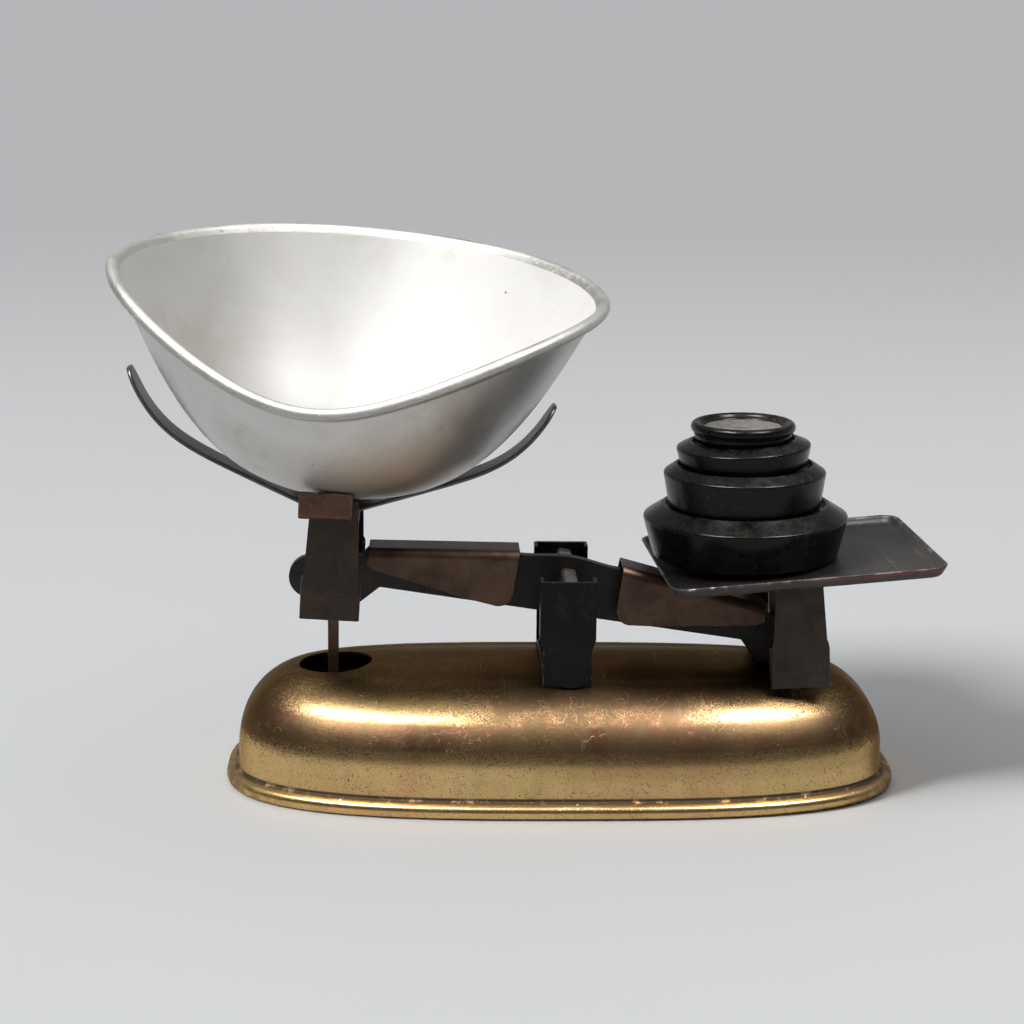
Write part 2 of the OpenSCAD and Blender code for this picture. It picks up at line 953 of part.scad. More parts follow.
module lead_plug(plug_r) {
    rotate_extrude()
        polygon([[0, 1.9], [plug_r - 0.5, 1.9], [plug_r, 2.3], [plug_r, 6.6], [0, 6.6]]);
}

module at_weight(dx, dy, dz, lean) {
    translate([weight_x + dx, weight_y + dy, weight_z + dz])
        rotate([0, lean, 0])
            children();
}

module at_2lb() {
    at_weight(0, 0, 0, stack_lean)
        children();
}

module at_1lb() {
    at_weight(-1.1, -1, 22.1, stack_lean)
        children();
}

module at_8oz() {
    at_weight(-1.8, -0.4, 41.6, -3)
        children();
}

module at_4oz() {
    at_weight(-2.6, 0, 52.9, -0.8)
        children();
}

module weight_2lb() {
    color(iron)
        at_2lb()
            cast_weight(42.8, 47.5, 18.3, 38.4, 23.9, 37, 2.2, 9);
}

module weight_1lb() {
    color(iron)
        at_1lb()
            cast_weight(34.8, 37.5, 17, 31.8, 20.6, 31, 2.4, 8);
}

module weight_8oz() {
    color(iron)
        at_8oz()
            cast_weight(28.9, 31.1, 9.7, 24.6, 12.5, 23.6, 2.4, 7);
}

// The smallest weight has a grooved, rounded ring and a lead plug in its top
module weight_4oz() {
    color(iron)
        at_4oz()
            rotate_extrude()
                polygon([[0, 1.6], [16, 1.6], [16, 0], [21.2, 0], [21.9, 0.7], [22.5, 3.6],
                    [22, 4], [22.4, 4.4], [23.6, 4.9], [24.1, 6.2], [23.7, 7.4], [22.4, 8.7],
                    [20.8, 9.4], [19.2, 9.2], [18.1, 8.2], [17.9, 7.6], [17.9, 5.6], [0, 5.6]]);
}

module lead_plug_2lb() {
    color(lead)
        at_2lb()
            lead_plug(9);
}

module lead_plug_1lb() {
    color(lead)
        at_1lb()
            lead_plug(8);
}

module lead_plug_8oz() {
    color(lead)
        at_8oz()
            lead_plug(7);
}

module lead_plug_4oz() {
    color(lead)
        at_4oz()
            translate([0, 0, 5.6])
                cylinder(r = 17.9, h = 1.6);
}

base_shell();
fulcrum_stand();
front_guard();
rear_guard();
front_fulcrum_bearing();
rear_fulcrum_bearing();
stand_rivets();
check_bracket();
check_pin();
beam_plate();
left_saddle();
right_saddle();
fulcrum_knife();
left_knife();
right_knife();
left_carrier();
left_bearings();
front_seat_lip();
rear_seat_lip();
pan_strap();
strap_rivets();
left_stem();
right_carrier();
right_bearings();
weight_tray();
tray_rivets();
right_stem();
check_link_front();
check_link_rear();
check_bush();
left_link_pin();
right_link_pin();
pan_bowl();
weight_2lb();
weight_1lb();
weight_8oz();
weight_4oz();
lead_plug_2lb();
lead_plug_1lb();
lead_plug_8oz();
lead_plug_4oz();
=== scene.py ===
import json
import math
import bmesh
import bpy
from mathutils import Matrix, Quaternion, Vector


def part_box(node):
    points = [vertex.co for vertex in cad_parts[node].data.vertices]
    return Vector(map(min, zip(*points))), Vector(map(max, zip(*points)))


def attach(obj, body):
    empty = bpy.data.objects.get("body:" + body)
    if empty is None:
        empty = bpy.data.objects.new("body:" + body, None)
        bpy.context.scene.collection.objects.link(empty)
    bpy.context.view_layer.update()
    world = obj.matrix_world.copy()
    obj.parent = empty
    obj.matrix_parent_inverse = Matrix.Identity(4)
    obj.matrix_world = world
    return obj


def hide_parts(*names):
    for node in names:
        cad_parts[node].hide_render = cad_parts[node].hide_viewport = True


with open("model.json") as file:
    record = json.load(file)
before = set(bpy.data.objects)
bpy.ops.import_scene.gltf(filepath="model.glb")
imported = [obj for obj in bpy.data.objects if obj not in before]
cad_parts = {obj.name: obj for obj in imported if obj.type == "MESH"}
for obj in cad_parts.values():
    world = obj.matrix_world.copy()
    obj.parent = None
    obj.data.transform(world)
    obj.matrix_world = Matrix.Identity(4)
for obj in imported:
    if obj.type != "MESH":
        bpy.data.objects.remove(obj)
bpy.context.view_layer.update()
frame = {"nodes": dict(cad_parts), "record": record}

MM = 0.001
record = frame["record"]
BODY = {n: b for b, nodes in record["behaviour"]["bodies"].items() for n in nodes}
SLOT = {s["node"]: s["material_slot"] for s in record["subparts"]}
JOINT = {j["name"]: j for j in record["behaviour"]["joints"]}
done = set()

# ---- Camera ---------------------------------------------------------------------------

camera_place = Vector((-60.8, -1061.6, 369.9)) * MM
camera_target = Vector((-23.58, 0.82, 124.51)) * MM
camera_roll = 0.011623
camera_data = bpy.data.cameras.new("camera")
camera_data.lens = 83.26
camera_data.sensor_width = 36
camera_data.clip_end = 200
camera = bpy.data.objects.new("camera", camera_data)
bpy.context.scene.collection.objects.link(camera)
turn = (camera_target - camera_place).to_track_quat("-Z", "Y")
camera.rotation_mode = "QUATERNION"
camera.rotation_quaternion = turn @ Quaternion((0, 0, 1), camera_roll)
camera.location = camera_place
bpy.context.scene.camera = camera


# ---- Mesh tools -----------------------------------------------------------------------

def new_object(name, verts, faces, matrix=None):
    """A mesh object at the origin, its points in metres and already moved by matrix."""
    mesh = bpy.data.meshes.new(name)
    mesh.from_pydata(verts, [], faces)
    if matrix is not None:
        mesh.transform(matrix)
    mesh.update()
    obj = bpy.data.objects.new(name, mesh)
    bpy.context.scene.collection.objects.link(obj)
    return obj


def soften(obj, sharp_deg=40):
    """Smooth shading, broken where faces meet at more than sharp_deg."""
    bm = bmesh.new()
    bm.from_mesh(obj.data)
    for face in bm.faces:
        face.smooth = True
    for edge in bm.edges:
        flat = len(edge.link_faces) != 2 or edge.calc_face_angle(0) > math.radians(sharp_deg)
        edge.smooth = not flat
    bm.to_mesh(obj.data)
    bm.free()


def outward(obj):
    """Turn every face of a closed form outward."""
    bm = bmesh.new()
    bm.from_mesh(obj.data)
    bmesh.ops.recalc_face_normals(bm, faces=bm.faces)
    bm.to_mesh(obj.data)
    bm.free()


def adopt(obj, materials, node):
    """obj takes the place of a CAD node: same body, hidden original."""
    for material in materials:
        obj.data.materials.append(material)
    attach(obj, BODY[node])
    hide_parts(node)
    done.add(node)


def fillet(points, radii, steps=6):
    """A polyline with each inner corner rounded to its radius."""
    out = [points[0]]
    for i in range(1, len(points) - 1):
        p = Vector(points[i])
        a = Vector(points[i - 1]) - p
        b = Vector(points[i + 1]) - p
        r = radii[i] if i < len(radii) else 0
        angle = a.angle(b, 0)
        if r <= 0 or angle > math.radians(176):
            out.append(tuple(p))
            continue
        reach = min(r / math.tan(angle / 2), a.length * 0.49, b.length * 0.49)
        start = p + a.normalized() * reach
        end = p + b.normalized() * reach
        for k in range(steps + 1):
            t = k / steps
            q = start * (1 - t) ** 2 + p * 2 * t * (1 - t) + end * t ** 2
            out.append((q.x, q.y))
    out.append(points[-1])
    return out


def lathe(name, profile, matrix, segments=144):
    """Surface of revolution about Z. The profile is (radius, height) in mm, open or closed at the axis."""
    verts, rows = [], []
    for r, z in profile:
        if r < 1e-6:
            rows.append([len(verts)])
            verts.append((0, 0, z * MM))
        else:
            rows.append(list(range(len(verts), len(verts) + segments)))
            verts += [(r * MM * math.cos(a), r * MM * math.sin(a), z * MM)
                      for a in (2 * math.pi * i / segments for i in range(segments))]
    faces = []
    for low, high in zip(rows, rows[1:]):
        for i in range(segments):
            j = (i + 1) % segments
            if len(low) == 1 and len(high) == 1:
                continue
            if len(low) == 1:
                faces.append((low[0], high[j], high[i]))
            elif len(high) == 1:
                faces.append((low[i], low[j], high[0]))
            else:
                faces.append((low[i], low[j], high[j], high[i]))
    obj = new_object(name, verts, faces, matrix)
    outward(obj)
    soften(obj, 50)
    return obj


def refine(node, width, finish, fold=None, fold_width=2.2):
    """A CAD node's own shape with its folds rolled wide and every other hard edge rolled narrow."""
    obj = bpy.data.objects.new("fine_" + node, frame["nodes"][node].data.copy())
    obj.data.materials.clear()
    bpy.context.scene.collection.objects.link(obj)
    bm = bmesh.new()
    bm.from_mesh(obj.data)
    bmesh.ops.remove_doubles(bm, verts=bm.verts, dist=2e-6)
    bmesh.ops.dissolve_limit(bm, angle_limit=math.radians(1), verts=bm.verts, edges=bm.edges)
    bmesh.ops.recalc_face_normals(bm, faces=bm.faces)
    weight = bm.edges.layers.float.get("bevel_weight_edge") \
        or bm.edges.layers.float.new("bevel_weight_edge")
    for edge in bm.edges:
        middle = (edge.verts[0].co + edge.verts[1].co) / 2 / MM
        run = (edge.verts[1].co - edge.verts[0].co) / MM
        edge[weight] = 1 if fold and fold(middle, run) else 0
    for face in bm.faces:
        face.smooth = True
    bm.to_mesh(obj.data)
    bm.free()
    if fold:
        wide = obj.modifiers.new("folds", "BEVEL")
        wide.limit_method = "WEIGHT"
        wide.width = fold_width * MM
        wide.segments = 7
    narrow = obj.modifiers.new("edges", "BEVEL")
    narrow.limit_method = "ANGLE"
    narrow.angle_limit = math.radians(28)
    narrow.width = width * MM
    narrow.segments = 2
    narrow.use_clamp_overlap = True
    narrow.material = len(finish) - 1
    shade = obj.modifiers.new("shade", "WEIGHTED_NORMAL")
    shade.weight = 80
    shade.keep_sharp = True
    adopt(obj, finish, node)


# ---- Material tools -------------------------------------------------------------------

class Finish:
    """A Principled material whose colour, roughness and bump come from textures in object space."""

    def __init__(self, name, metallic=0.0, frame_of=None, **fixed):
        self.mat = bpy.data.materials.new(name)
        self.mat.use_nodes = True
        self.tree = self.mat.node_tree
        self.bsdf = self.tree.nodes["Principled BSDF"]
        self.bsdf.inputs["Metallic"].default_value = metallic
        for key, value in fixed.items():
            self.bsdf.inputs[key.replace("_", " ")].default_value = value
        self.at = self.node("ShaderNodeTexCoord").outputs["Object"]
        self.geo = self.node("ShaderNodeNewGeometry")
        if frame_of is not None:
            back = frame_of.inverted()
            self.at = self.place((1, 1, 1), tuple(back.to_euler("XYZ")), tuple(back.translation))

    def node(self, kind, inputs=None, **settings):
        n = self.tree.nodes.new(kind)
        for key, value in settings.items():
            setattr(n, key, value)
        for key, value in (inputs or {}).items():
            self.feed(n.inputs[key], value)
        return n

    def feed(self, socket, value):
        if isinstance(value, bpy.types.NodeSocket):
            self.tree.links.new(value, socket)
        else:
            if socket.type == "RGBA" and isinstance(value, tuple) and len(value) == 3:
                value = (*value, 1)
            socket.default_value = value

    def place(self, scale=(1, 1, 1), rotation=(0, 0, 0), shift=(0, 0, 0)):
        return self.node("ShaderNodeMapping", {"Vector": self.at, "Scale": scale,
                         "Rotation": rotation, "Location": shift}).outputs[0]

    def noise(self, scale, detail=4, rough=0.5, warp=0.0, at=None):
        return self.node("ShaderNodeTexNoise", {"Vector": at or self.at, "Scale": scale,
                         "Detail": detail, "Roughness": rough, "Distortion": warp}).outputs[0]

    def cells(self, scale):
        return self.node("ShaderNodeTexVoronoi", {"Vector": self.at, "Scale": scale}).outputs["Distance"]

    def ramp(self, value, *stops):
        n = self.node("ShaderNodeValToRGB", {"Fac": value})
        e = n.color_ramp.elements
        while len(e) < len(stops):
            e.new(0.5)
        for k, (position, colour) in enumerate(stops):
            e[k].position = position
            e[k].color = (colour,) * 3 + (1,) if isinstance(colour, (int, float)) else (*colour, 1)
        return n.outputs[0]

    def mix(self, fac, a, b):
        n = self.tree.nodes.new("ShaderNodeMix")
        n.data_type = "RGBA"
        n.clamp_factor = True
        self.feed(n.inputs[0], fac)
        self.feed(n.inputs[6], a)
        self.feed(n.inputs[7], b)
        return n.outputs[2]

    def calc(self, how, a, b=0.0, clamp=False):
        n = self.node("ShaderNodeMath", operation=how, use_clamp=clamp)
        self.feed(n.inputs[0], a)
        self.feed(n.inputs[1], b)
        return n.outputs[0]

    def times(self, *values):
        out = values[0]
        for value in values[1:]:
            out = self.calc("MULTIPLY", out, value)
        return out

    def most(self, *values):
        out = values[0]
        for value in values[1:]:
            out = self.calc("MAXIMUM", out, value)
        return out

    def axis(self, letter):
        return self.node("ShaderNodeSeparateXYZ", {"Vector": self.at}).outputs["XYZ".index(letter)]

    def span(self, value, a, b, to=(0, 1)):
        """Smooth step from to[0] at a to to[1] at b."""
        n = self.node("ShaderNodeMapRange", {"Value": value, "From Min": a, "From Max": b,
                      "To Min": to[0], "To Max": to[1]}, interpolation_type="SMOOTHSTEP")
        return n.outputs[0]

    def band(self, value, a, b, soft):
        """1 between a and b, fading to 0 over soft on both sides."""
        return self.times(self.span(value, a - soft, a), self.span(value, b + soft, b))

    def up(self):
        """How far a surface faces the ceiling."""
        return self.node("ShaderNodeSeparateXYZ", {"Vector": self.geo.outputs["Normal"]}).outputs[2]

    def scratches(self, scale, amount, width, angles=(0.3, 1.1, 2.3)):
        """Fine lines at a few angles, each broken into lengths."""
        parts = []
        for k, angle in enumerate(angles):
            at = self.place((scale, scale * 0.012, scale), (0.2 * k, 0.3 * k, angle), (k, k, k))
            line = self.noise(7, 1, 0.5, 0.0, at)
            thin = self.calc("COMPARE", line, 0.5)
            thin.node.inputs[2].default_value = width * 0.3
            parts.append(self.times(thin, self.span(self.noise(31 + 9 * k, 3), 0.52, 0.66), amount))
        return self.most(*parts)

    def finish(self, colour, rough, height=None, depth=0.0002, strength=0.3, metal=None):
        self.feed(self.bsdf.inputs["Base Color"], colour)
        self.feed(self.bsdf.inputs["Roughness"], rough)
        if metal is not None:
            self.feed(self.bsdf.inputs["Metallic"], metal)
        if height is not None:
            bump = self.node("ShaderNodeBump", {"Height": height, "Strength": strength,
                             "Distance": depth})
            self.feed(self.bsdf.inputs["Normal"], bump.outputs[0])
        return self.mat


def brass_plate():
    """Yellow plating: clean on the wall, browned in grains on the shoulder, dark on the crown. The browning
    is part tarnish and part painted shade, thickest where the shoulder and crown reflect a dark room; the
    wall carries a painted reflection, the foot a painted shade line and painted glints.
    """
    f = Finish("brass_plate", 1.0, Specular_Tint=(0.55, 0.48, 0.40, 1))
    x, z = f.axis("X"), f.axis("Z")
    cloud = f.noise(24, 5, 0.6, 0.4)
    blotch = f.noise(95, 8, 0.7, 0.3)
    speck = f.calc("ADD", f.times(f.noise(1600, 2, 0.8), 0.72), f.times(f.noise(560, 4, 0.75), 0.28))
    gold = f.ramp(cloud, (0.3, (0.58, 0.42, 0.17)), (0.5, (0.70, 0.475, 0.21)), (0.7, (0.64, 0.465, 0.18)))
    streaks = f.noise(1, 3, 0.6, 0.1, f.place((38, 38, 3)))
    gold = f.mix(f.span(streaks, 0.45, 0.75, (0, 0.5)), gold, (0.60, 0.31, 0.17))
    gold = f.mix(f.span(streaks, 0.5, 0.25, (0, 0.4)), gold, (0.33, 0.29, 0.12))
    # painted reflection: the lower wall darkened right of centre, standing in for the dark camera it reflects
    painted_wall_reflection = f.times(f.band(x, 0.02, 0.125, 0.05), f.span(z, 0.020, 0.014, (0.40, 0.12)))
    gold = f.mix(painted_wall_reflection, gold, (0.22, 0.13, 0.06))
    tarnish_and_shade_colour = f.ramp(blotch, (0.36, (0.120, 0.046, 0.032)), (0.52, (0.085, 0.052, 0.029)),
                     (0.68, (0.135, 0.075, 0.046)))
    per_height = 17.7    # makes the ramp below run from 0 at the floor to 1 near the top of the dome
    # partly painted shade: tarnish dense on the shoulder's dark band and the crown, where they reflect a dark
    # room, and sparse under the softbox highlights
    level = f.ramp(f.calc("MULTIPLY", z, per_height), (0.40, 0.0), (0.50, 0.62), (0.58, 0.92), (0.67, 0.72),
                   (0.73, 0.40), (0.82, 0.30), (0.885, 0.52), (0.94, 0.95))
    # painted shade: tarnish thickened in the middle of the shoulder, between the two softbox highlights
    middle = f.times(f.band(x, -0.028, 0.050, 0.03), f.span(z, 0.030, 0.038), 0.55)
    ends = f.times(f.span(f.calc("ABSOLUTE", x), 0.108, 0.140), f.span(z, 0.020, 0.032), 0.8)
    bias = f.calc("ADD", f.calc("ADD", level, middle), ends)
    bias = f.calc("ADD", f.times(bias, 0.17), f.times(f.calc("SUBTRACT", blotch, 0.5), 0.20))
    grains = f.span(f.calc("ADD", speck, bias), 0.545, 0.650, (0, 0.90))
    # crown: tarnish, partly painted shade for the dark room it reflects, thinned toward the left end as
    # painted light
    crown = f.times(f.span(z, 0.0490, 0.0535), f.span(blotch, 0.25, 0.55, (0.66, 0.96)),
                    f.span(x, -0.15, 0.0, (0.50, 1)))
    # painted shade: a dark band of tarnish colour across the shoulder, standing in for the dark room it
    # reflects
    shade = f.times(f.band(z, 0.0300, 0.0390, 0.0035), f.span(cloud, 0.3, 0.7, (0.72, 0.97)))
    # painted shade: the middle of the upper shoulder darkened between the two softbox highlights
    centre = f.times(f.band(x, -0.026, 0.048, 0.026), f.band(z, 0.0385, 0.0500, 0.0040),
                     f.span(blotch, 0.32, 0.58, (0.55, 0.92)))
    # tarnish and painted shade together: real grains plus the painted dark band, dark crown and darker middle
    tarnish_and_shade_cover = f.most(grains, crown, shade, centre)
    colour = f.mix(tarnish_and_shade_cover, gold, tarnish_and_shade_colour)
    marks = f.scratches(30, 0.6, 0.010)
    colour = f.mix(f.times(marks, f.span(z, 0.012, 0.03, (0.1, 0.75))), colour, (0.72, 0.60, 0.38))
    nicks = f.times(f.scratches(47, 0.7, 0.012, (0.9, 2.0)), f.span(z, 0.014, 0.03))
    colour = f.mix(nicks, colour, (0.10, 0.06, 0.035))
    seam = f.times(f.band(z, 0.0070, 0.0083, 0.0009), f.span(f.noise(150, 6, 0.7), 0.3, 0.5, (0.35, 1)))
    tips = f.span(f.calc("ABSOLUTE", x), 0.118, 0.152)
    flange = f.times(f.span(z, 0.0088, 0.0072), tips, f.span(f.noise(85, 7, 0.7), 0.36, 0.56))
    # painted shade: the bottom millimetre of the foot darkened where it meets the floor
    foot = f.span(z, 0.0012, 0.0002)
    # grime on the flange ends, a dark line at the wall's junction with the foot, and the painted shade along
    # the floor
    grime_and_shade = f.most(seam, f.times(flange, 0.8), f.times(foot, 0.8))
    colour = f.mix(grime_and_shade, colour, (0.055, 0.035, 0.02))
    # painted highlight: near-white glints in a thin band along the bead's top
    painted_glints = f.times(f.band(z, 0.0063, 0.0071, 0.0004), f.span(f.noise(310, 3), 0.68, 0.72))
    colour = f.mix(painted_glints, colour, (0.95, 0.92, 0.82))
    rough = f.calc("ADD", f.span(tarnish_and_shade_cover, 0, 1, (0.20, 0.34)), f.times(f.noise(60, 4), 0.08))
    rough = f.calc("ADD", rough, f.times(grime_and_shade, 0.35), True)
    height = f.calc("ADD", f.times(grains, -0.5), f.times(marks, -0.5))
    height = f.calc("ADD", height, f.times(f.noise(14, 2), 1.6))
    metal = f.span(grime_and_shade, 0.2, 0.9, (1, 0.3))
    return f.finish(colour, rough, height, 0.00008, 0.5, metal)


def aluminium(inside):
    """The pan's spun sheet: brushed grey outside, whiter and stained inside."""
    f = Finish("aluminium_inside" if inside else "aluminium_outside", 0.12 if inside else 1.0,
               Specular_IOR_Level=0.3)
    cloud = f.noise(16, 5, 0.6, 0.5)
    spun = f.noise(1, 4, 0.6, 0.0, f.place((30, 30, 900)))
    fine = f.noise(900, 4, 0.7)
    if inside:
        colour = f.ramp(cloud, (0.3, (0.70, 0.68, 0.635)), (0.55, (0.81, 0.795, 0.765)),
                        (0.75, (0.765, 0.745, 0.71)))
        stain = f.times(f.span(f.noise(55, 8, 0.75), 0.60, 0.74), 0.35)
        colour = f.mix(stain, colour, (0.52, 0.47, 0.38))
        dots = f.times(f.span(f.cells(130), 0.11, 0.05), f.span(f.noise(30, 2), 0.58, 0.66))
        colour = f.mix(dots, colour, (0.20, 0.18, 0.15))
        rough = f.calc("ADD", f.span(cloud, 0.3, 0.7, (0.40, 0.5)), f.times(fine, 0.08))
        marks = f.scratches(22, 0.12, 0.006)
    else:
        colour = f.ramp(cloud, (0.28, (0.45, 0.44, 0.425)), (0.5, (0.58, 0.57, 0.55)),
                        (0.75, (0.51, 0.495, 0.47)))
        smear = f.times(f.span(f.noise(40, 9, 0.8, 0.8), 0.52, 0.70), 0.55)
        colour = f.mix(smear, colour, (0.36, 0.35, 0.33))
        dots = f.times(f.span(f.cells(170), 0.13, 0.05), f.span(f.noise(26, 2), 0.55, 0.64))
        colour = f.mix(f.times(dots, 0.8), colour, (0.22, 0.21, 0.19))
        rough = f.calc("ADD", f.span(cloud, 0.3, 0.7, (0.30, 0.40)), f.times(fine, 0.10))
        marks = f.scratches(26, 0.5, 0.010)
    colour = f.mix(f.times(marks, 0.5), colour, (0.30, 0.29, 0.27))
    height = f.calc("ADD", f.times(spun, 0.35), f.times(fine, 0.12))
    height = f.calc("ADD", height, f.times(f.noise(22, 3), 3.2))
    height = f.calc("ADD", height, f.times(dots, -1.5))
    return f.finish(colour, rough, height, 0.00012, 0.5)


def aluminium_bead():
    """The pan's rolled rim: duller, and pitted toward its left end."""
    f = Finish("aluminium_bead", 1.0)
    cloud = f.noise(30, 5, 0.65, 0.3)
    pits = f.span(f.noise(420, 7, 0.8, 0.2), 0.54, 0.64)
    left = f.span(f.axis("X"), -0.08, -0.19, (0.12, 0.75))
    colour = f.ramp(cloud, (0.34, (0.36, 0.35, 0.325)), (0.5, (0.46, 0.45, 0.43)), (0.68, (0.41, 0.40, 0.38)))
    colour = f.mix(f.times(pits, left), colour, (0.25, 0.235, 0.205))
    rough = f.calc("ADD", f.span(cloud, 0.3, 0.7, (0.48, 0.58)), f.times(pits, 0.1))
    return f.finish(colour, rough, f.times(pits, -1.0), 0.0002, 0.5)


def painted(name, dark, light, worn, rough=(0.30, 0.46), wear=1.0, dust=None, dust_amount=0.0,
            metallic=0.0, cast=0.0, stain=None, gloss=0.35):
    """Old paint or lacquer over metal: one finish for the faces and one for the rolled edges."""
    return [coat(name + part, dark, light, worn, rough, wear * amount, dust, dust_amount, metallic, cast,
                 stain, gloss) for part, amount in (("", 0), ("_edge", 1))]


def coat(name, dark, light, worn, rough, wear, dust, dust_amount, metallic, cast, stain, gloss):
    """Clouded paint with scratches, and where asked stains, bare patches, a cast skin and settled dust."""
    f = Finish(name, metallic, Specular_IOR_Level=gloss)
    cloud = f.noise(60, 6, 0.65, 0.4)
    fine = f.noise(900, 5, 0.7)
    colour = f.ramp(cloud, (0.32, dark), (0.68, light))
    if stain:
        patch = f.times(f.span(f.noise(48, 7, 0.72, 0.8), 0.50, 0.64), stain[1])
        colour = f.mix(patch, colour, stain[0])
    marks = f.scratches(44, 0.5, 0.008)
    colour = f.mix(f.times(marks, 0.4), colour, worn)
    height = f.calc("ADD", f.times(fine, 0.35), f.times(f.noise(240, 3), cast))
    metal = metallic
    if wear:
        bare = f.times(f.span(f.noise(260, 6, 0.75), 0.50, 0.64), wear)
        colour = f.mix(bare, colour, worn)
        height = f.calc("ADD", height, f.times(bare, -0.5))
        metal = f.span(bare, 0.1, 0.8, (metallic, 0.9))
    rough_value = f.calc("ADD", f.span(cloud, 0.25, 0.75, rough), f.times(fine, 0.08))
    if dust:
        settled = f.times(f.span(f.up(), 0.15, 0.9), f.span(f.noise(190, 8, 0.75), 0.42, 0.66), dust_amount)
        colour = f.mix(settled, colour, dust)
        rough_value = f.calc("ADD", rough_value, f.times(settled, 0.3), True)
    return f.finish(colour, rough_value, height, 0.00015, 0.5, metal)


def bare_metal(name, dark, light, rough):
    """Ground steel with a little rust."""
    f = Finish(name, 1.0)
    cloud = f.noise(130, 6, 0.65)
    grind = f.noise(1, 3, 0.6, 0.0, f.place((1800, 60, 1800)))
    colour = f.ramp(cloud, (0.3, dark), (0.7, light))
    colour = f.mix(f.times(f.span(f.noise(170, 8, 0.75), 0.54, 0.68), 0.3), colour, (0.16, 0.07, 0.03))
    rough_value = f.calc("ADD", f.span(cloud, 0.3, 0.7, rough), f.times(grind, 0.1))
    return f.finish(colour, rough_value, f.calc("ADD", grind, cloud), 0.00008, 0.5)


def tray_finish():
    """Black enamel, hazed and specked, with a chipped rim and a red line under its front right edge."""
    f = Finish("tray_enamel", 0.0, TRAY_MATRIX, Specular_IOR_Level=0.4)
    cloud = f.noise(45, 7, 0.7, 0.5)
    fine = f.noise(800, 5, 0.7)
    colour = f.ramp(cloud, (0.3, (0.020, 0.017, 0.016)), (0.7, (0.052, 0.042, 0.038)))
    haze = f.times(f.span(f.up(), 0.5, 0.95), f.span(f.noise(35, 6, 0.7), 0.35, 0.7), 0.26)
    colour = f.mix(haze, colour, (0.105, 0.100, 0.082))
    specks = f.times(f.span(f.cells(420), 0.26, 0.12), f.span(f.noise(120, 4), 0.50, 0.62),
                     f.span(f.up(), 0.2, 0.8))
    colour = f.mix(f.times(specks, 0.55), colour, (0.42, 0.38, 0.34))
    marks = f.scratches(30, 0.7, 0.03)
    colour = f.mix(f.times(marks, 0.35), colour, (0.32, 0.26, 0.24))
    x, y, z = f.axis("X"), f.axis("Y"), f.axis("Z")
    rim = f.span(z, 0.0022, 0.0034)
    chips = f.times(rim, f.span(f.noise(75, 7, 0.75), 0.47, 0.57))
    front_left = f.times(f.span(x, -0.02, -0.045), f.span(y, 0.0, -0.03))
    bright = f.times(chips, f.span(front_left, 0, 1, (0.35, 1)))
    colour = f.mix(bright, colour, (0.50, 0.40, 0.38))
    line = f.times(f.span(y, -0.0512, -0.0517), f.span(x, 0.0, 0.01), f.band(z, 0.0020, 0.0027, 0.0003),
                   f.span(f.noise(1, 4, 0.6, 0.0, f.place((160, 20, 20))), 0.38, 0.46))
    colour = f.mix(line, colour, (0.20, 0.015, 0.02))
    rough = f.calc("ADD", f.span(cloud, 0.3, 0.7, (0.34, 0.5)), f.times(specks, 0.2), True)
    height = f.calc("ADD", f.times(fine, 0.4), f.times(bright, -0.6))
    return f.finish(colour, rough, height, 0.00015, 0.5, f.times(bright, 0.8))


def lead_finish():
    f = Finish("lead_dull", 0.35)
    cloud = f.noise(260, 7, 0.7, 0.5)
    colour = f.ramp(cloud, (0.32, (0.16, 0.14, 0.12)), (0.5, (0.33, 0.30, 0.26)), (0.72, (0.48, 0.44, 0.39)))
    return f.finish(colour, f.span(cloud, 0.3, 0.7, (0.62, 0.45)), cloud, 0.0004, 0.6)


TRAY_AT, TRAY_TURN, TRAY_LEAN = (105.5, 0, 103.2), 3, -4.4
TRAY_MATRIX = (Matrix.Translation(Vector(TRAY_AT) * MM) @ Matrix.Rotation(math.radians(TRAY_TURN), 4, "Z")
               @ Matrix.Rotation(math.radians(TRAY_LEAN), 4, "Y"))
BRASS = brass_plate()
ALU_IN = aluminium(True)
ALU_OUT = aluminium(False)
ALU_BEAD = aluminium_bead()
BLACK = painted("black_enamel", (0.004, 0.004, 0.004), (0.009, 0.008, 0.008), (0.26, 0.23, 0.20),
                (0.30, 0.44), 0.75, (0.12, 0.095, 0.07), 0.2, stain=((0.030, 0.020, 0.015), 0.5), gloss=0.14)
IRON = painted("black_iron", (0.003, 0.003, 0.003), (0.006, 0.006, 0.006), (0.42, 0.40, 0.37),
               (0.15, 0.27), 0.6, (0.19, 0.145, 0.095), 0.24, cast=1.0, gloss=0.17)
DARK_STEEL = painted("dark_steel", (0.012, 0.011, 0.011), (0.030, 0.027, 0.025), (0.30, 0.27, 0.24),
                     (0.32, 0.46), 0.7, (0.12, 0.10, 0.08), 0.15, metallic=0.35,
                     stain=((0.055, 0.024, 0.014), 0.5), gloss=0.3)
BRONZE = painted("bronzed_steel", (0.046, 0.028, 0.019), (0.132, 0.080, 0.054), (0.46, 0.34, 0.24),
                 (0.30, 0.44), 0.7, metallic=0.7, stain=((0.125, 0.048, 0.026), 0.6))
BRONZE_DARK = painted("bronzed_dark", (0.017, 0.014, 0.012), (0.046, 0.036, 0.029), (0.34, 0.28, 0.22),
                      (0.32, 0.46), 0.65, metallic=0.55, stain=((0.070, 0.036, 0.022), 0.45))
STRAP = painted("strap_steel", (0.085, 0.078, 0.072), (0.16, 0.15, 0.14), (0.27, 0.26, 0.24),
                (0.28, 0.40), 0.7, metallic=0.9, stain=((0.12, 0.08, 0.055), 0.3))
STEEL = [bare_metal("bare_steel", (0.20, 0.18, 0.16), (0.38, 0.36, 0.33), (0.30, 0.45))]
TRAY = tray_finish()
LEAD = lead_finish()

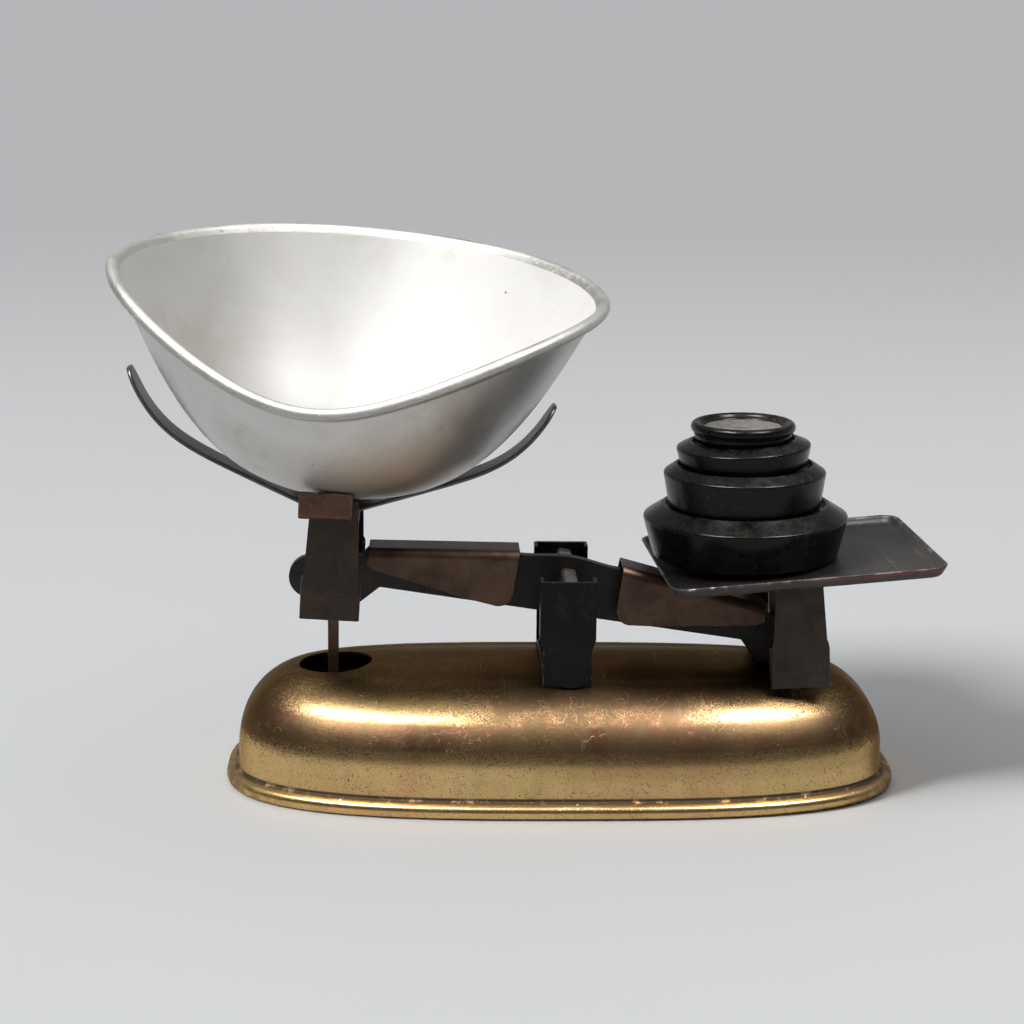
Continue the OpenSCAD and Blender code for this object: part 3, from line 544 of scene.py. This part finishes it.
# The finishes, by slot, of the small parts that keep their own shape.
FINISHES = {"bare_steel": STEEL, "black_enamel": BLACK, "dark_steel": DARK_STEEL}

# ---- Base shell -----------------------------------------------------------------------

base_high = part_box("base_shell")[1]
FOOT_OUT = 5.3
HALF_L = base_high[0] / MM - FOOT_OUT
HALF_W = base_high[1] / MM - FOOT_OUT
PLAN_N = 2.9
SHOULDER_Z, SHOULDER_RUN, CROWN_RISE, WALL_LEAN = 18, 36, 3.5, 0.5
SHOULDER_TOP = base_high[2] / MM - CROWN_RISE
SHEET = 1.2
BEAD_RUN, BEAD_R = 3.0, 3.3
FULCRUM_X = JOINT["beam_tilt"]["pos_m"][0] / MM
HOLE_PITCH, HOLE_R = 106, 17


def signed_power(v, p):
    """|v| to the power p, with the sign of v."""
    return math.copysign(abs(v) ** p, v)


def plan_angles(count):
    """Parameters that space points evenly round the superellipse."""
    fine = 7200
    dense = [2 * math.pi * i / fine for i in range(fine + 1)]
    pts = [(HALF_L * signed_power(math.cos(a), 2 / PLAN_N), HALF_W * signed_power(math.sin(a), 2 / PLAN_N))
           for a in dense]
    run = [0]
    for p, q in zip(pts, pts[1:]):
        run.append(run[-1] + math.dist(p, q))
    out, k = [], 0
    for i in range(count):
        want = run[-1] * i / count
        while run[k + 1] < want:
            k += 1
        part = (want - run[k]) / max(run[k + 1] - run[k], 1e-9)
        out.append(dense[k] + part * (dense[k + 1] - dense[k]))
    return out


ANGLES = plan_angles(288)


def plan_ring(inset, scale, z):
    """The plan outline drawn in by inset mm, scaled about the centre, at height z."""
    return [(scale * (HALF_L - inset) * signed_power(math.cos(a), 2 / PLAN_N) * MM,
             scale * (HALF_W - inset) * signed_power(math.sin(a), 2 / PLAN_N) * MM, z * MM)
            for a in ANGLES]


def dome_rings(t):
    """Rings from the crown's centre out to the foot of the shoulder, t inside the outer skin."""
    crown_steps, shoulder_steps = 13, 28
    rings = []
    for k in range(1, crown_steps):
        s = k / crown_steps
        rings.append(plan_ring(WALL_LEAN + SHOULDER_RUN, s, SHOULDER_TOP + CROWN_RISE * (1 - s * s) - t))
    for k in range(shoulder_steps, -1, -1):
        a = math.radians(90 * k / shoulder_steps)
        rings.append(plan_ring(WALL_LEAN + SHOULDER_RUN * (1 - math.cos(a)) + t * math.cos(a), 1,
                               SHOULDER_Z + (SHOULDER_TOP - SHOULDER_Z) * math.sin(a) - t * math.sin(a)))
    return rings


def base_skin():
    """The pressed shell: dome, wall and rolled foot outside, thin sheet inside, two round holes."""
    foot = [(0.4, 13), (0.15, 9.6), (0.05, 8.5), (-0.05, 7.9), (-0.4, 7.35), (-1.1, 7.0), (-1.7, 6.75),
            (-2.2, 6.62)]
    foot += [(BEAD_RUN - FOOT_OUT - BEAD_RUN * math.sin(a), BEAD_R + BEAD_R * math.cos(a))
             for a in (math.radians(turn) for turn in range(10, 176, 11))]
    foot += [(-1.6, 0.05), (-0.8, 0.45), (0.0, 1.1), (0.7, 2.0), (1.15, 3.4), (1.25, 6), (1.3, 12)]
    rings = dome_rings(0) + [plan_ring(p[0], 1, p[1]) for p in foot]
    rings += list(reversed(dome_rings(SHEET)))
    n = len(ANGLES)
    verts = [(0, 0, base_high[2]), (0, 0, base_high[2] - SHEET * MM)] + [p for ring in rings for p in ring]
    faces = []
    for i in range(n):
        j = (i + 1) % n
        faces.append((0, 2 + i, 2 + j))
        last = 2 + (len(rings) - 1) * n
        faces.append((1, last + j, last + i))
        for k in range(len(rings) - 1):
            a = 2 + k * n
            faces.append((a + i, a + n + i, a + n + j, a + j))
    obj = new_object("fine_base_shell", verts, faces)
    outward(obj)
    for side in (-1, 1):
        bm = bmesh.new()
        centre = Matrix.Translation(((FULCRUM_X + side * HOLE_PITCH) * MM, 0, 0.052))
        bmesh.ops.create_cone(bm, cap_ends=True, segments=96, radius1=HOLE_R * MM, radius2=HOLE_R * MM,
                              depth=0.04, matrix=centre)
        mesh = bpy.data.meshes.new("cutter")
        bm.to_mesh(mesh)
        bm.free()
        cutter = bpy.data.objects.new("cutter", mesh)
        bpy.context.scene.collection.objects.link(cutter)
        cut = obj.modifiers.new("hole", "BOOLEAN")
        cut.operation = "DIFFERENCE"
        cut.solver = "EXACT"
        cut.object = cutter
        bpy.context.view_layer.update()
        graph = bpy.context.evaluated_depsgraph_get()
        pierced = bpy.data.meshes.new_from_object(obj.evaluated_get(graph))
        obj.modifiers.clear()
        obj.data = pierced
        bpy.data.objects.remove(cutter)
    soften(obj, 35)
    adopt(obj, [BRASS], "base_shell")


base_skin()

# ---- Pan ------------------------------------------------------------------------------

PAN_AT = (-101.7, 5, 134.95)
PAN_TILT, PAN_PITCH, PAN_TURN = 4.8, 3.3, -10.5
PAN_ROUND, PAN_GRIP, PAN_FLARE = 91, 2, 0.306
PAN_BACK, PAN_LIP, PAN_SHEET, PAN_BEAD = 99.6, 55.5, 1.2, 2.8
RIM_WAVES = (0.398, 0.208, 0.102, 0.030)


def bowl_r(h):
    """Radius of the bowl at height h above its bottom."""
    return PAN_ROUND * (1 - math.exp(-PAN_GRIP * math.sqrt(h / PAN_ROUND))) + PAN_FLARE * h


def bowl_slope(h):
    """How fast that radius grows with height."""
    rounded = math.exp(-PAN_GRIP * math.sqrt(h / PAN_ROUND)) * PAN_GRIP / 2
    return rounded * math.sqrt(PAN_ROUND / h) + PAN_FLARE


def rim_h(deg):
    """Height of the rim round the bowl, lowest at the pouring lip."""
    return PAN_LIP + (PAN_BACK - PAN_LIP) * sum(
        w * (1 - math.cos(math.radians(deg * (k + 1)))) for k, w in enumerate(RIM_WAVES))


def pan_bowl():
    """The bowl as upright lines of points: outer wall, rolled bead, inner wall."""
    segments, rows, turns = 240, 44, 20
    lines = []
    for i in range(segments):
        a = 360 * i / segments
        h = rim_h(a + 90 - PAN_TURN)
        hs = [h * (k / rows) ** 2 for k in range(1, rows + 1)]
        outer = [(bowl_r(z), z) for z in hs[:-1]]
        rim = bowl_r(h)
        bead_x = rim - PAN_SHEET / 2 + PAN_BEAD - 0.4
        bead = [(bead_x + PAN_BEAD * math.cos(math.radians(t)), h + PAN_BEAD * math.sin(math.radians(t)))
                for t in (-115 + 270 * k / turns for k in range(turns + 1))]
        inner = []
        for k in range(rows - 1, -1, -1):
            z = hs[k] * (0.985 if k == rows - 1 else 1)
            s = bowl_slope(z)
            n = math.hypot(1, s)
            inner.append((bowl_r(z) - PAN_SHEET / n, z + PAN_SHEET * s / n))
        lines.append([(r * MM * math.cos(math.radians(a)), r * MM * math.sin(math.radians(a)), z * MM)
                      for r, z in outer + bead + inner])
    count = len(lines[0])
    verts = [(0, 0, 0), (0, 0, PAN_SHEET * MM)] + [p for line in lines for p in line]
    faces, kinds = [], []
    for i in range(segments):
        a, b = 2 + i * count, 2 + (i + 1) % segments * count
        faces.append((0, b, a))
        kinds.append(0)
        faces.append((1, a + count - 1, b + count - 1))
        kinds.append(1)
        for k in range(count - 1):
            faces.append((a + k, b + k, b + k + 1, a + k + 1))
            kinds.append(0 if k < rows - 1 else 2 if k < rows + turns else 1)
    matrix = (Matrix.Translation(Vector(PAN_AT) * MM) @ Matrix.Rotation(math.radians(PAN_TILT), 4, "Y")
              @ Matrix.Rotation(math.radians(PAN_PITCH), 4, "X"))
    obj = new_object("fine_pan", verts, faces, matrix)
    for polygon, kind in zip(obj.data.polygons, kinds):
        polygon.material_index = kind
    soften(obj, 60)
    adopt(obj, [ALU_OUT, ALU_IN, ALU_BEAD], "pan_bowl")


pan_bowl()

# ---- Strap ----------------------------------------------------------------------------

LEFT_PIVOT = Vector(JOINT["pan_carrier_pivot"]["pos_m"])
RIGHT_PIVOT = Vector(JOINT["tray_carrier_pivot"]["pos_m"])
LEFT_LEAN, RIGHT_LEAN, REST_TILT = 3, -3, 8.4
STRAP_W, STRAP_T, STRAP_FLAT, STRAP_REACH = 19, 2, 10, 98
STRAP_RAMP, STRAP_CURL, STRAP_POWER = 0.38, 23, 7
STRAP_LEAN, STRAP_SHIFT, STRAP_BACK = 5, -2, 4
LEFT_BRIDGE, HALF_NECK, TOUCH = 28.6, 10.5, 0.05
STRAP_RISE = HALF_NECK * math.tan(math.radians(STRAP_LEAN - LEFT_LEAN)) + TOUCH


def strap_z(x):
    """Height of the strap's underside above its flat middle."""
    out = abs(x) - STRAP_FLAT
    if out < 0:
        return 0
    return STRAP_RAMP * out + STRAP_CURL * (out / (STRAP_REACH - STRAP_FLAT)) ** STRAP_POWER


def pan_strap():
    """A flat bar of rounded section swept along the strap's curve, with half-round tips."""
    steps, m = 110, 24
    xs = [STRAP_REACH * (i / steps - 1) for i in range(2 * steps + 1)]
    tip = strap_z(STRAP_REACH) + 1 - STRAP_W / 2
    section = []
    for k in range(m):
        a = 2 * math.pi * k / m
        section.append((signed_power(math.cos(a), 0.22), signed_power(math.sin(a), 0.5)))
    verts, faces = [], []
    for x in xs:
        z = strap_z(x)
        slope = (strap_z(x + 0.01) - strap_z(x - 0.01)) / 0.02
        n = math.hypot(1, slope)
        over = max(0, z - tip)
        half = math.sqrt(max(0.3, (STRAP_W / 2) ** 2 - over ** 2))
        for c, s in section:
            lift = STRAP_T / 2 * (1 + s * 0.98)
            verts.append(((x - lift * slope / n) * MM, c * half * MM, (z + lift / n) * MM))
    for i in range(len(xs) - 1):
        for k in range(m):
            j = (k + 1) % m
            faces.append((i * m + k, i * m + j, (i + 1) * m + j, (i + 1) * m + k))
    faces.append(tuple(range(m)))
    faces.append(tuple(range((len(xs) - 1) * m, len(xs) * m)))
    matrix = (Matrix.Translation(LEFT_PIVOT) @ Matrix.Rotation(math.radians(LEFT_LEAN), 4, "Y")
              @ Matrix.Translation((0, STRAP_BACK * MM, (LEFT_BRIDGE + STRAP_RISE) * MM))
              @ Matrix.Rotation(math.radians(STRAP_LEAN - LEFT_LEAN), 4, "Y")
              @ Matrix.Translation((STRAP_SHIFT * MM, 0, 0)))
    obj = new_object("fine_strap", verts, faces, matrix)
    outward(obj)
    soften(obj, 50)
    adopt(obj, STRAP, "pan_strap")


pan_strap()

# ---- Tray -----------------------------------------------------------------------------

TRAY_L, TRAY_W, TRAY_CORNER = 125.8, 105.5, 9


def tray_ring(inset, z):
    """The tray's outline drawn in by inset mm, at height z."""
    per_corner, along = 14, 6
    out = []
    r = max(TRAY_CORNER - inset, 0.4)
    l, w = TRAY_L / 2 - inset - r, TRAY_W / 2 - inset - r
    for q, (sx, sy) in enumerate(((1, 1), (-1, 1), (-1, -1), (1, -1))):
        for k in range(per_corner + 1):
            a = math.radians(90 * q + 90 * k / per_corner)
            out.append((sx * l + r * math.cos(a), sy * w + r * math.sin(a)))
        nx, ny = ((-1, 1), (-1, -1), (1, -1), (1, 1))[q]
        a = math.radians(90 * (q + 1))
        start = out[-1]
        end = (nx * l + r * math.cos(a), ny * w + r * math.sin(a))
        for k in range(1, along):
            t = k / along
            out.append((start[0] + (end[0] - start[0]) * t, start[1] + (end[1] - start[1]) * t))
    return [(x * MM, y * MM, z * MM) for x, y in out]


def weight_tray():
    """Pressed tray with a raised, rolled rim. The profile is (inset, height) in mm."""
    profile = [(12, -1.6), (5, -1.6), (4.0, -1.5), (3.0, -1.1), (2.2, -0.35), (1.4, 0.9), (0.7, 2.1),
               (0.15, 2.9), (0.0, 3.25), (0.12, 3.6), (0.55, 3.78), (1.1, 3.7), (1.5, 3.3), (1.9, 2.5),
               (2.5, 1.6), (3.3, 0.8), (4.4, 0.25), (6.0, 0.02), (12, 0)]
    rings = [tray_ring(*p) for p in profile]
    n = len(rings[0])
    verts = [p for ring in rings for p in ring]
    faces = []
    for k in range(len(rings) - 1):
        for i in range(n):
            j = (i + 1) % n
            faces.append((k * n + i, k * n + j, (k + 1) * n + j, (k + 1) * n + i))
    faces.append(tuple(range(n)))
    faces.append(tuple(range((len(rings) - 1) * n, len(rings) * n)))
    obj = new_object("fine_tray", verts, faces, TRAY_MATRIX)
    outward(obj)
    soften(obj, 50)
    adopt(obj, [TRAY], "weight_tray")


weight_tray()

# ---- Weights --------------------------------------------------------------------------

WEIGHT_AT = Vector((85.3, 5.4, 104.5))


def weight_matrix(dx, dy, dz, lean):
    place = Matrix.Translation((WEIGHT_AT + Vector((dx, dy, dz))) * MM)
    return place @ Matrix.Rotation(math.radians(lean), 4, "Y")


def cast_weight(node, place, low_r, belly_r, belly_z, rim_r, height, recess_r, recess_d, plug_r):
    """Iron weight with a chamfered top, a recess for the next weight and a hollow for its lead plug."""
    hollow_r, hollow_d, plug_d = low_r - 6, 1.6, 5
    points = [(0, hollow_d + plug_d), (plug_r, hollow_d + plug_d), (plug_r, hollow_d), (hollow_r, hollow_d),
              (hollow_r, 0), (low_r, 0), (belly_r, belly_z), (rim_r + 0.2, height), (recess_r, height),
              (recess_r, height - recess_d), (0, height - recess_d)]
    radii = [0, 0.2, 0.5, 0.6, 0.8, 1.4, 1.5, 0.7, 0.25, 0.5, 0]
    adopt(lathe("fine_" + node, fillet(points, radii, 7), place), IRON, node)


PLACES = {"2lb": weight_matrix(0, 0, 0, -1.2), "1lb": weight_matrix(-1.1, -1, 22.1, -1.2),
          "8oz": weight_matrix(-1.8, -0.4, 41.6, -3), "4oz": weight_matrix(-2.6, 0, 52.9, -0.8)}
cast_weight("weight_2lb", PLACES["2lb"], 42.8, 47.5, 18.3, 38.4, 23.9, 37, 2.2, 9)
cast_weight("weight_1lb", PLACES["1lb"], 34.8, 37.5, 17, 31.8, 20.6, 31, 2.4, 8)
cast_weight("weight_8oz", PLACES["8oz"], 28.9, 31.1, 9.7, 24.6, 12.5, 23.6, 2.4, 7)


def small_weight():
    """The top weight: a foot, a waist and a rounded ring round its lead filling."""
    ring = [(21.75 + 2.35 * math.cos(math.radians(a)), 6.9 + 2.5 * math.sin(math.radians(a)))
            for a in range(-62, 161, 12)]
    profile = [(0, 1.6), (15.6, 1.6), (16, 1.2), (16, 0.3), (16.4, 0), (20.8, 0), (21.5, 0.3), (21.9, 0.9),
               (22.5, 3.4), (22.4, 3.8), (22.0, 4.1), (22.1, 4.5)] + ring
    profile += [(18.6, 7.4), (18.0, 6.9), (17.9, 6.2), (17.9, 5.6), (0, 5.6)]
    adopt(lathe("fine_weight_4oz", profile, PLACES["4oz"]), IRON, "weight_4oz")


small_weight()


def top_plug():
    """Lead filling with a worn ring, a bar and dots pressed into it."""
    segments, steps = 120, 46
    radius, low, high = 17.85, 5.65, 7.15
    verts = [(0, 0, high * MM)]
    for k in range(1, steps + 1):
        r = radius * k / steps
        for i in range(segments):
            a = 2 * math.pi * i / segments
            x, y = r * math.cos(a), r * math.sin(a)
            z = high - 0.25 * (r / radius) ** 6
            z -= 0.45 * math.exp(-((r - 11.5) / 0.7) ** 2)
            z += 0.22 * math.exp(-((r - 9.9) / 0.7) ** 2)
            if abs(x) < 6.2:
                z -= 0.5 * math.exp(-((y - 1.2) / 0.75) ** 2) * (1 - (x / 6.2) ** 8)
            for dx in (-4.5, 0, 4.5):
                z -= 0.55 * math.exp(-(((x - dx) / 1.1) ** 2 + ((y + 4.2) / 1.1) ** 2))
            z -= 0.16 * (math.sin(x * 1.3 + 0.7 * y) * math.sin(y * 1.1 - 0.5 * x) + 1) / 2
            verts.append((x * MM, y * MM, z * MM))
    base = len(verts)
    verts += [(radius * math.cos(a) * MM, radius * math.sin(a) * MM, low * MM)
              for a in (2 * math.pi * i / segments for i in range(segments))]
    faces = []
    for i in range(segments):
        j = (i + 1) % segments
        faces.append((0, 1 + i, 1 + j))
        for k in range(steps - 1):
            a = 1 + k * segments
            faces.append((a + i, a + segments + i, a + segments + j, a + j))
        a = 1 + (steps - 1) * segments
        faces.append((a + i, base + i, base + j, a + j))
    faces.append(tuple(base + i for i in reversed(range(segments))))
    obj = new_object("fine_lead_plug_4oz", verts, faces, PLACES["4oz"])
    outward(obj)
    soften(obj, 60)
    adopt(obj, [LEAD], "lead_plug_4oz")


top_plug()
for name, plug_r in (("2lb", 9), ("1lb", 8), ("8oz", 7)):
    points = [(0, 1.9), (plug_r - 0.4, 1.9), (plug_r - 0.05, 2.3), (plug_r - 0.05, 6.55), (0, 6.55)]
    adopt(lathe("fine_lead_plug_" + name, fillet(points, [0, 0.3, 0.3, 0, 0], 4), PLACES[name], 72),
          [LEAD], "lead_plug_" + name)

# ---- Sheet-metal work, with rolled folds and edges ------------------------------------

CARRIER_Y, BOX_HALF = 41, 13.3
GUARD_Y, GUARD_HALF, GUARD_FOLD_LOW = 39.25, 12.7, 74
SADDLE_Y, SADDLE_IN_X, SADDLE_OUT_X, SADDLE_IN_Z, SADDLE_OUT_Z = 11.5, 24, 92.5, 19.2, 10.3


def unlean(pivot, degrees):
    """Maps a point in mm into the frame of a part that leans about its pivot."""
    back = (Matrix.Translation(pivot / MM) @ Matrix.Rotation(math.radians(degrees), 4, "Y")).inverted()
    return lambda p: back @ p


def near(value, target, within):
    return abs(value - target) < within


def carrier_fold(pivot, degrees):
    """The upright corners of a carrier's channel plates."""
    local = unlean(pivot, degrees)

    def fold(middle, run):
        p = local(middle)
        return near(abs(p.y), CARRIER_Y, 0.2) and near(abs(p.x), BOX_HALF, 0.3) and run.length > 8
    return fold


def guard_fold(middle, run):
    """The upright corners of a guard."""
    return (near(abs(middle.y), GUARD_Y, 0.1) and near(abs(middle.x - FULCRUM_X), GUARD_HALF, 0.2)
            and run.length > 8 and middle.z > GUARD_FOLD_LOW)


def saddle_fold(middle, run):
    """The two long edges of a saddle's back, which slope down from the fulcrum."""
    p = unlean(Vector((FULCRUM_X * MM, 0, JOINT["beam_tilt"]["pos_m"][2])), REST_TILT)(middle)
    along = (abs(p.x) - SADDLE_IN_X) / (SADDLE_OUT_X - SADDLE_IN_X)
    line = SADDLE_IN_Z + (SADDLE_OUT_Z - SADDLE_IN_Z) * along
    return near(abs(p.y), SADDLE_Y, 0.2) and near(p.z, line, 0.5) and run.length > 15


refine("left_carrier", 0.45, BRONZE_DARK, carrier_fold(LEFT_PIVOT, LEFT_LEAN), 2.4)
refine("right_carrier", 0.45, BRONZE_DARK, carrier_fold(RIGHT_PIVOT, RIGHT_LEAN), 2.4)
refine("front_guard", 0.5, BLACK, guard_fold, 2.6)
refine("rear_guard", 0.5, BLACK, guard_fold, 2.6)
refine("left_saddle", 0.4, BRONZE, saddle_fold, 4.4)
refine("right_saddle", 0.4, BRONZE, saddle_fold, 4.4)
refine("beam_plate", 0.6, DARK_STEEL)
refine("front_seat_lip", 0.5, BRONZE)
refine("rear_seat_lip", 0.5, BRONZE)
refine("left_stem", 0.4, BRONZE)
refine("right_stem", 0.4, BRONZE)
refine("fulcrum_stand", 0.5, BLACK)
for node in SLOT:
    if node not in done:
        refine(node, 0.25, FINISHES[SLOT[node]])

# ---- Floor, light ---------------------------------------------------------------------

FLOOR = 60
floor = new_object("floor", [(-FLOOR, -FLOOR, 0), (FLOOR, -FLOOR, 0), (FLOOR, FLOOR, 0), (-FLOOR, FLOOR, 0)],
                   [(0, 1, 2, 3)])
paper = Finish("paper", 0.0, Specular_IOR_Level=0.25)
tone = paper.ramp(paper.noise(1.2, 3), (0.3, (0.77, 0.78, 0.79)), (0.7, (0.80, 0.81, 0.82)))
# painted shade: the floor darkens with distance behind the scale, standing in for light falling off
tone = paper.mix(paper.span(paper.axis("Y"), -0.1, 2.5), tone, (0.56, 0.565, 0.575))
floor.data.materials.append(paper.finish(tone, 0.55, paper.noise(900, 3), 0.00003, 0.1))


def light(name, kind, power):
    data = bpy.data.lights.new(name, kind)
    data.energy = power
    obj = bpy.data.objects.new(name, data)
    bpy.context.scene.collection.objects.link(obj)
    obj.rotation_mode = "QUATERNION"
    return obj


def softbox(name, place, target, size, power):
    """A panel that only shows as a highlight on shiny surfaces."""
    obj = light(name, "AREA", power)
    obj.data.shape = "RECTANGLE"
    obj.data.size, obj.data.size_y = size
    obj.location = place
    obj.rotation_quaternion = (Vector(target) - Vector(place)).to_track_quat("-Z", "Y")
    obj.visible_diffuse = False


softbox("left_softbox", (-0.50, -0.36, 1.30), (-0.10, -0.04, 0.04), (0.60, 0.46), 30)
softbox("right_softbox", (0.62, -0.36, 1.30), (0.09, -0.04, 0.04), (0.42, 0.46), 21)
key_light = light("key_light", "SUN", 2.6)
key_light.data.angle = 0.30
key_light.rotation_quaternion = Vector((2.5, 0.8, -2.1)).to_track_quat("-Z", "Y")
key_light.visible_glossy = False

world = bpy.data.worlds.new("world")
bpy.context.scene.world = world
world.use_nodes = True
sky = world.node_tree
around = sky.nodes.new("ShaderNodeTexCoord").outputs["Generated"]
split = sky.nodes.new("ShaderNodeSeparateXYZ")
sky.links.new(around, split.inputs[0])


def sky_ramp(*stops):
    """Brightness of the room from the horizon to the zenith."""
    n = sky.nodes.new("ShaderNodeValToRGB")
    sky.links.new(split.outputs[2], n.inputs[0])
    while len(n.color_ramp.elements) < len(stops):
        n.color_ramp.elements.new(0.5)
    for e, (position, level) in zip(n.color_ramp.elements, stops):
        e.position = position
        e.color = (level * 0.97, level * 0.985, level, 1)
    return n.outputs[0]


side = sky.nodes.new("ShaderNodeMapRange")
side.interpolation_type = "SMOOTHSTEP"
sky.links.new(split.outputs[1], side.inputs["Value"])
side.inputs["From Min"].default_value = -0.35
side.inputs["From Max"].default_value = 0.45
blend = sky.nodes.new("ShaderNodeMix")
blend.data_type = "RGBA"
sky.links.new(side.outputs[0], blend.inputs[0])
sky.links.new(sky_ramp((0.0, 0.20), (0.35, 0.12), (0.66, 0.18), (0.84, 0.85)), blend.inputs[6])
sky.links.new(sky_ramp((0.0, 1.0), (0.22, 0.42), (0.60, 0.40), (0.84, 0.85)), blend.inputs[7])
sky.links.new(blend.outputs[2], sky.nodes["Background"].inputs["Color"])
sky.nodes["Background"].inputs["Strength"].default_value = 0.66

bpy.context.scene.view_settings.view_transform = "Standard"
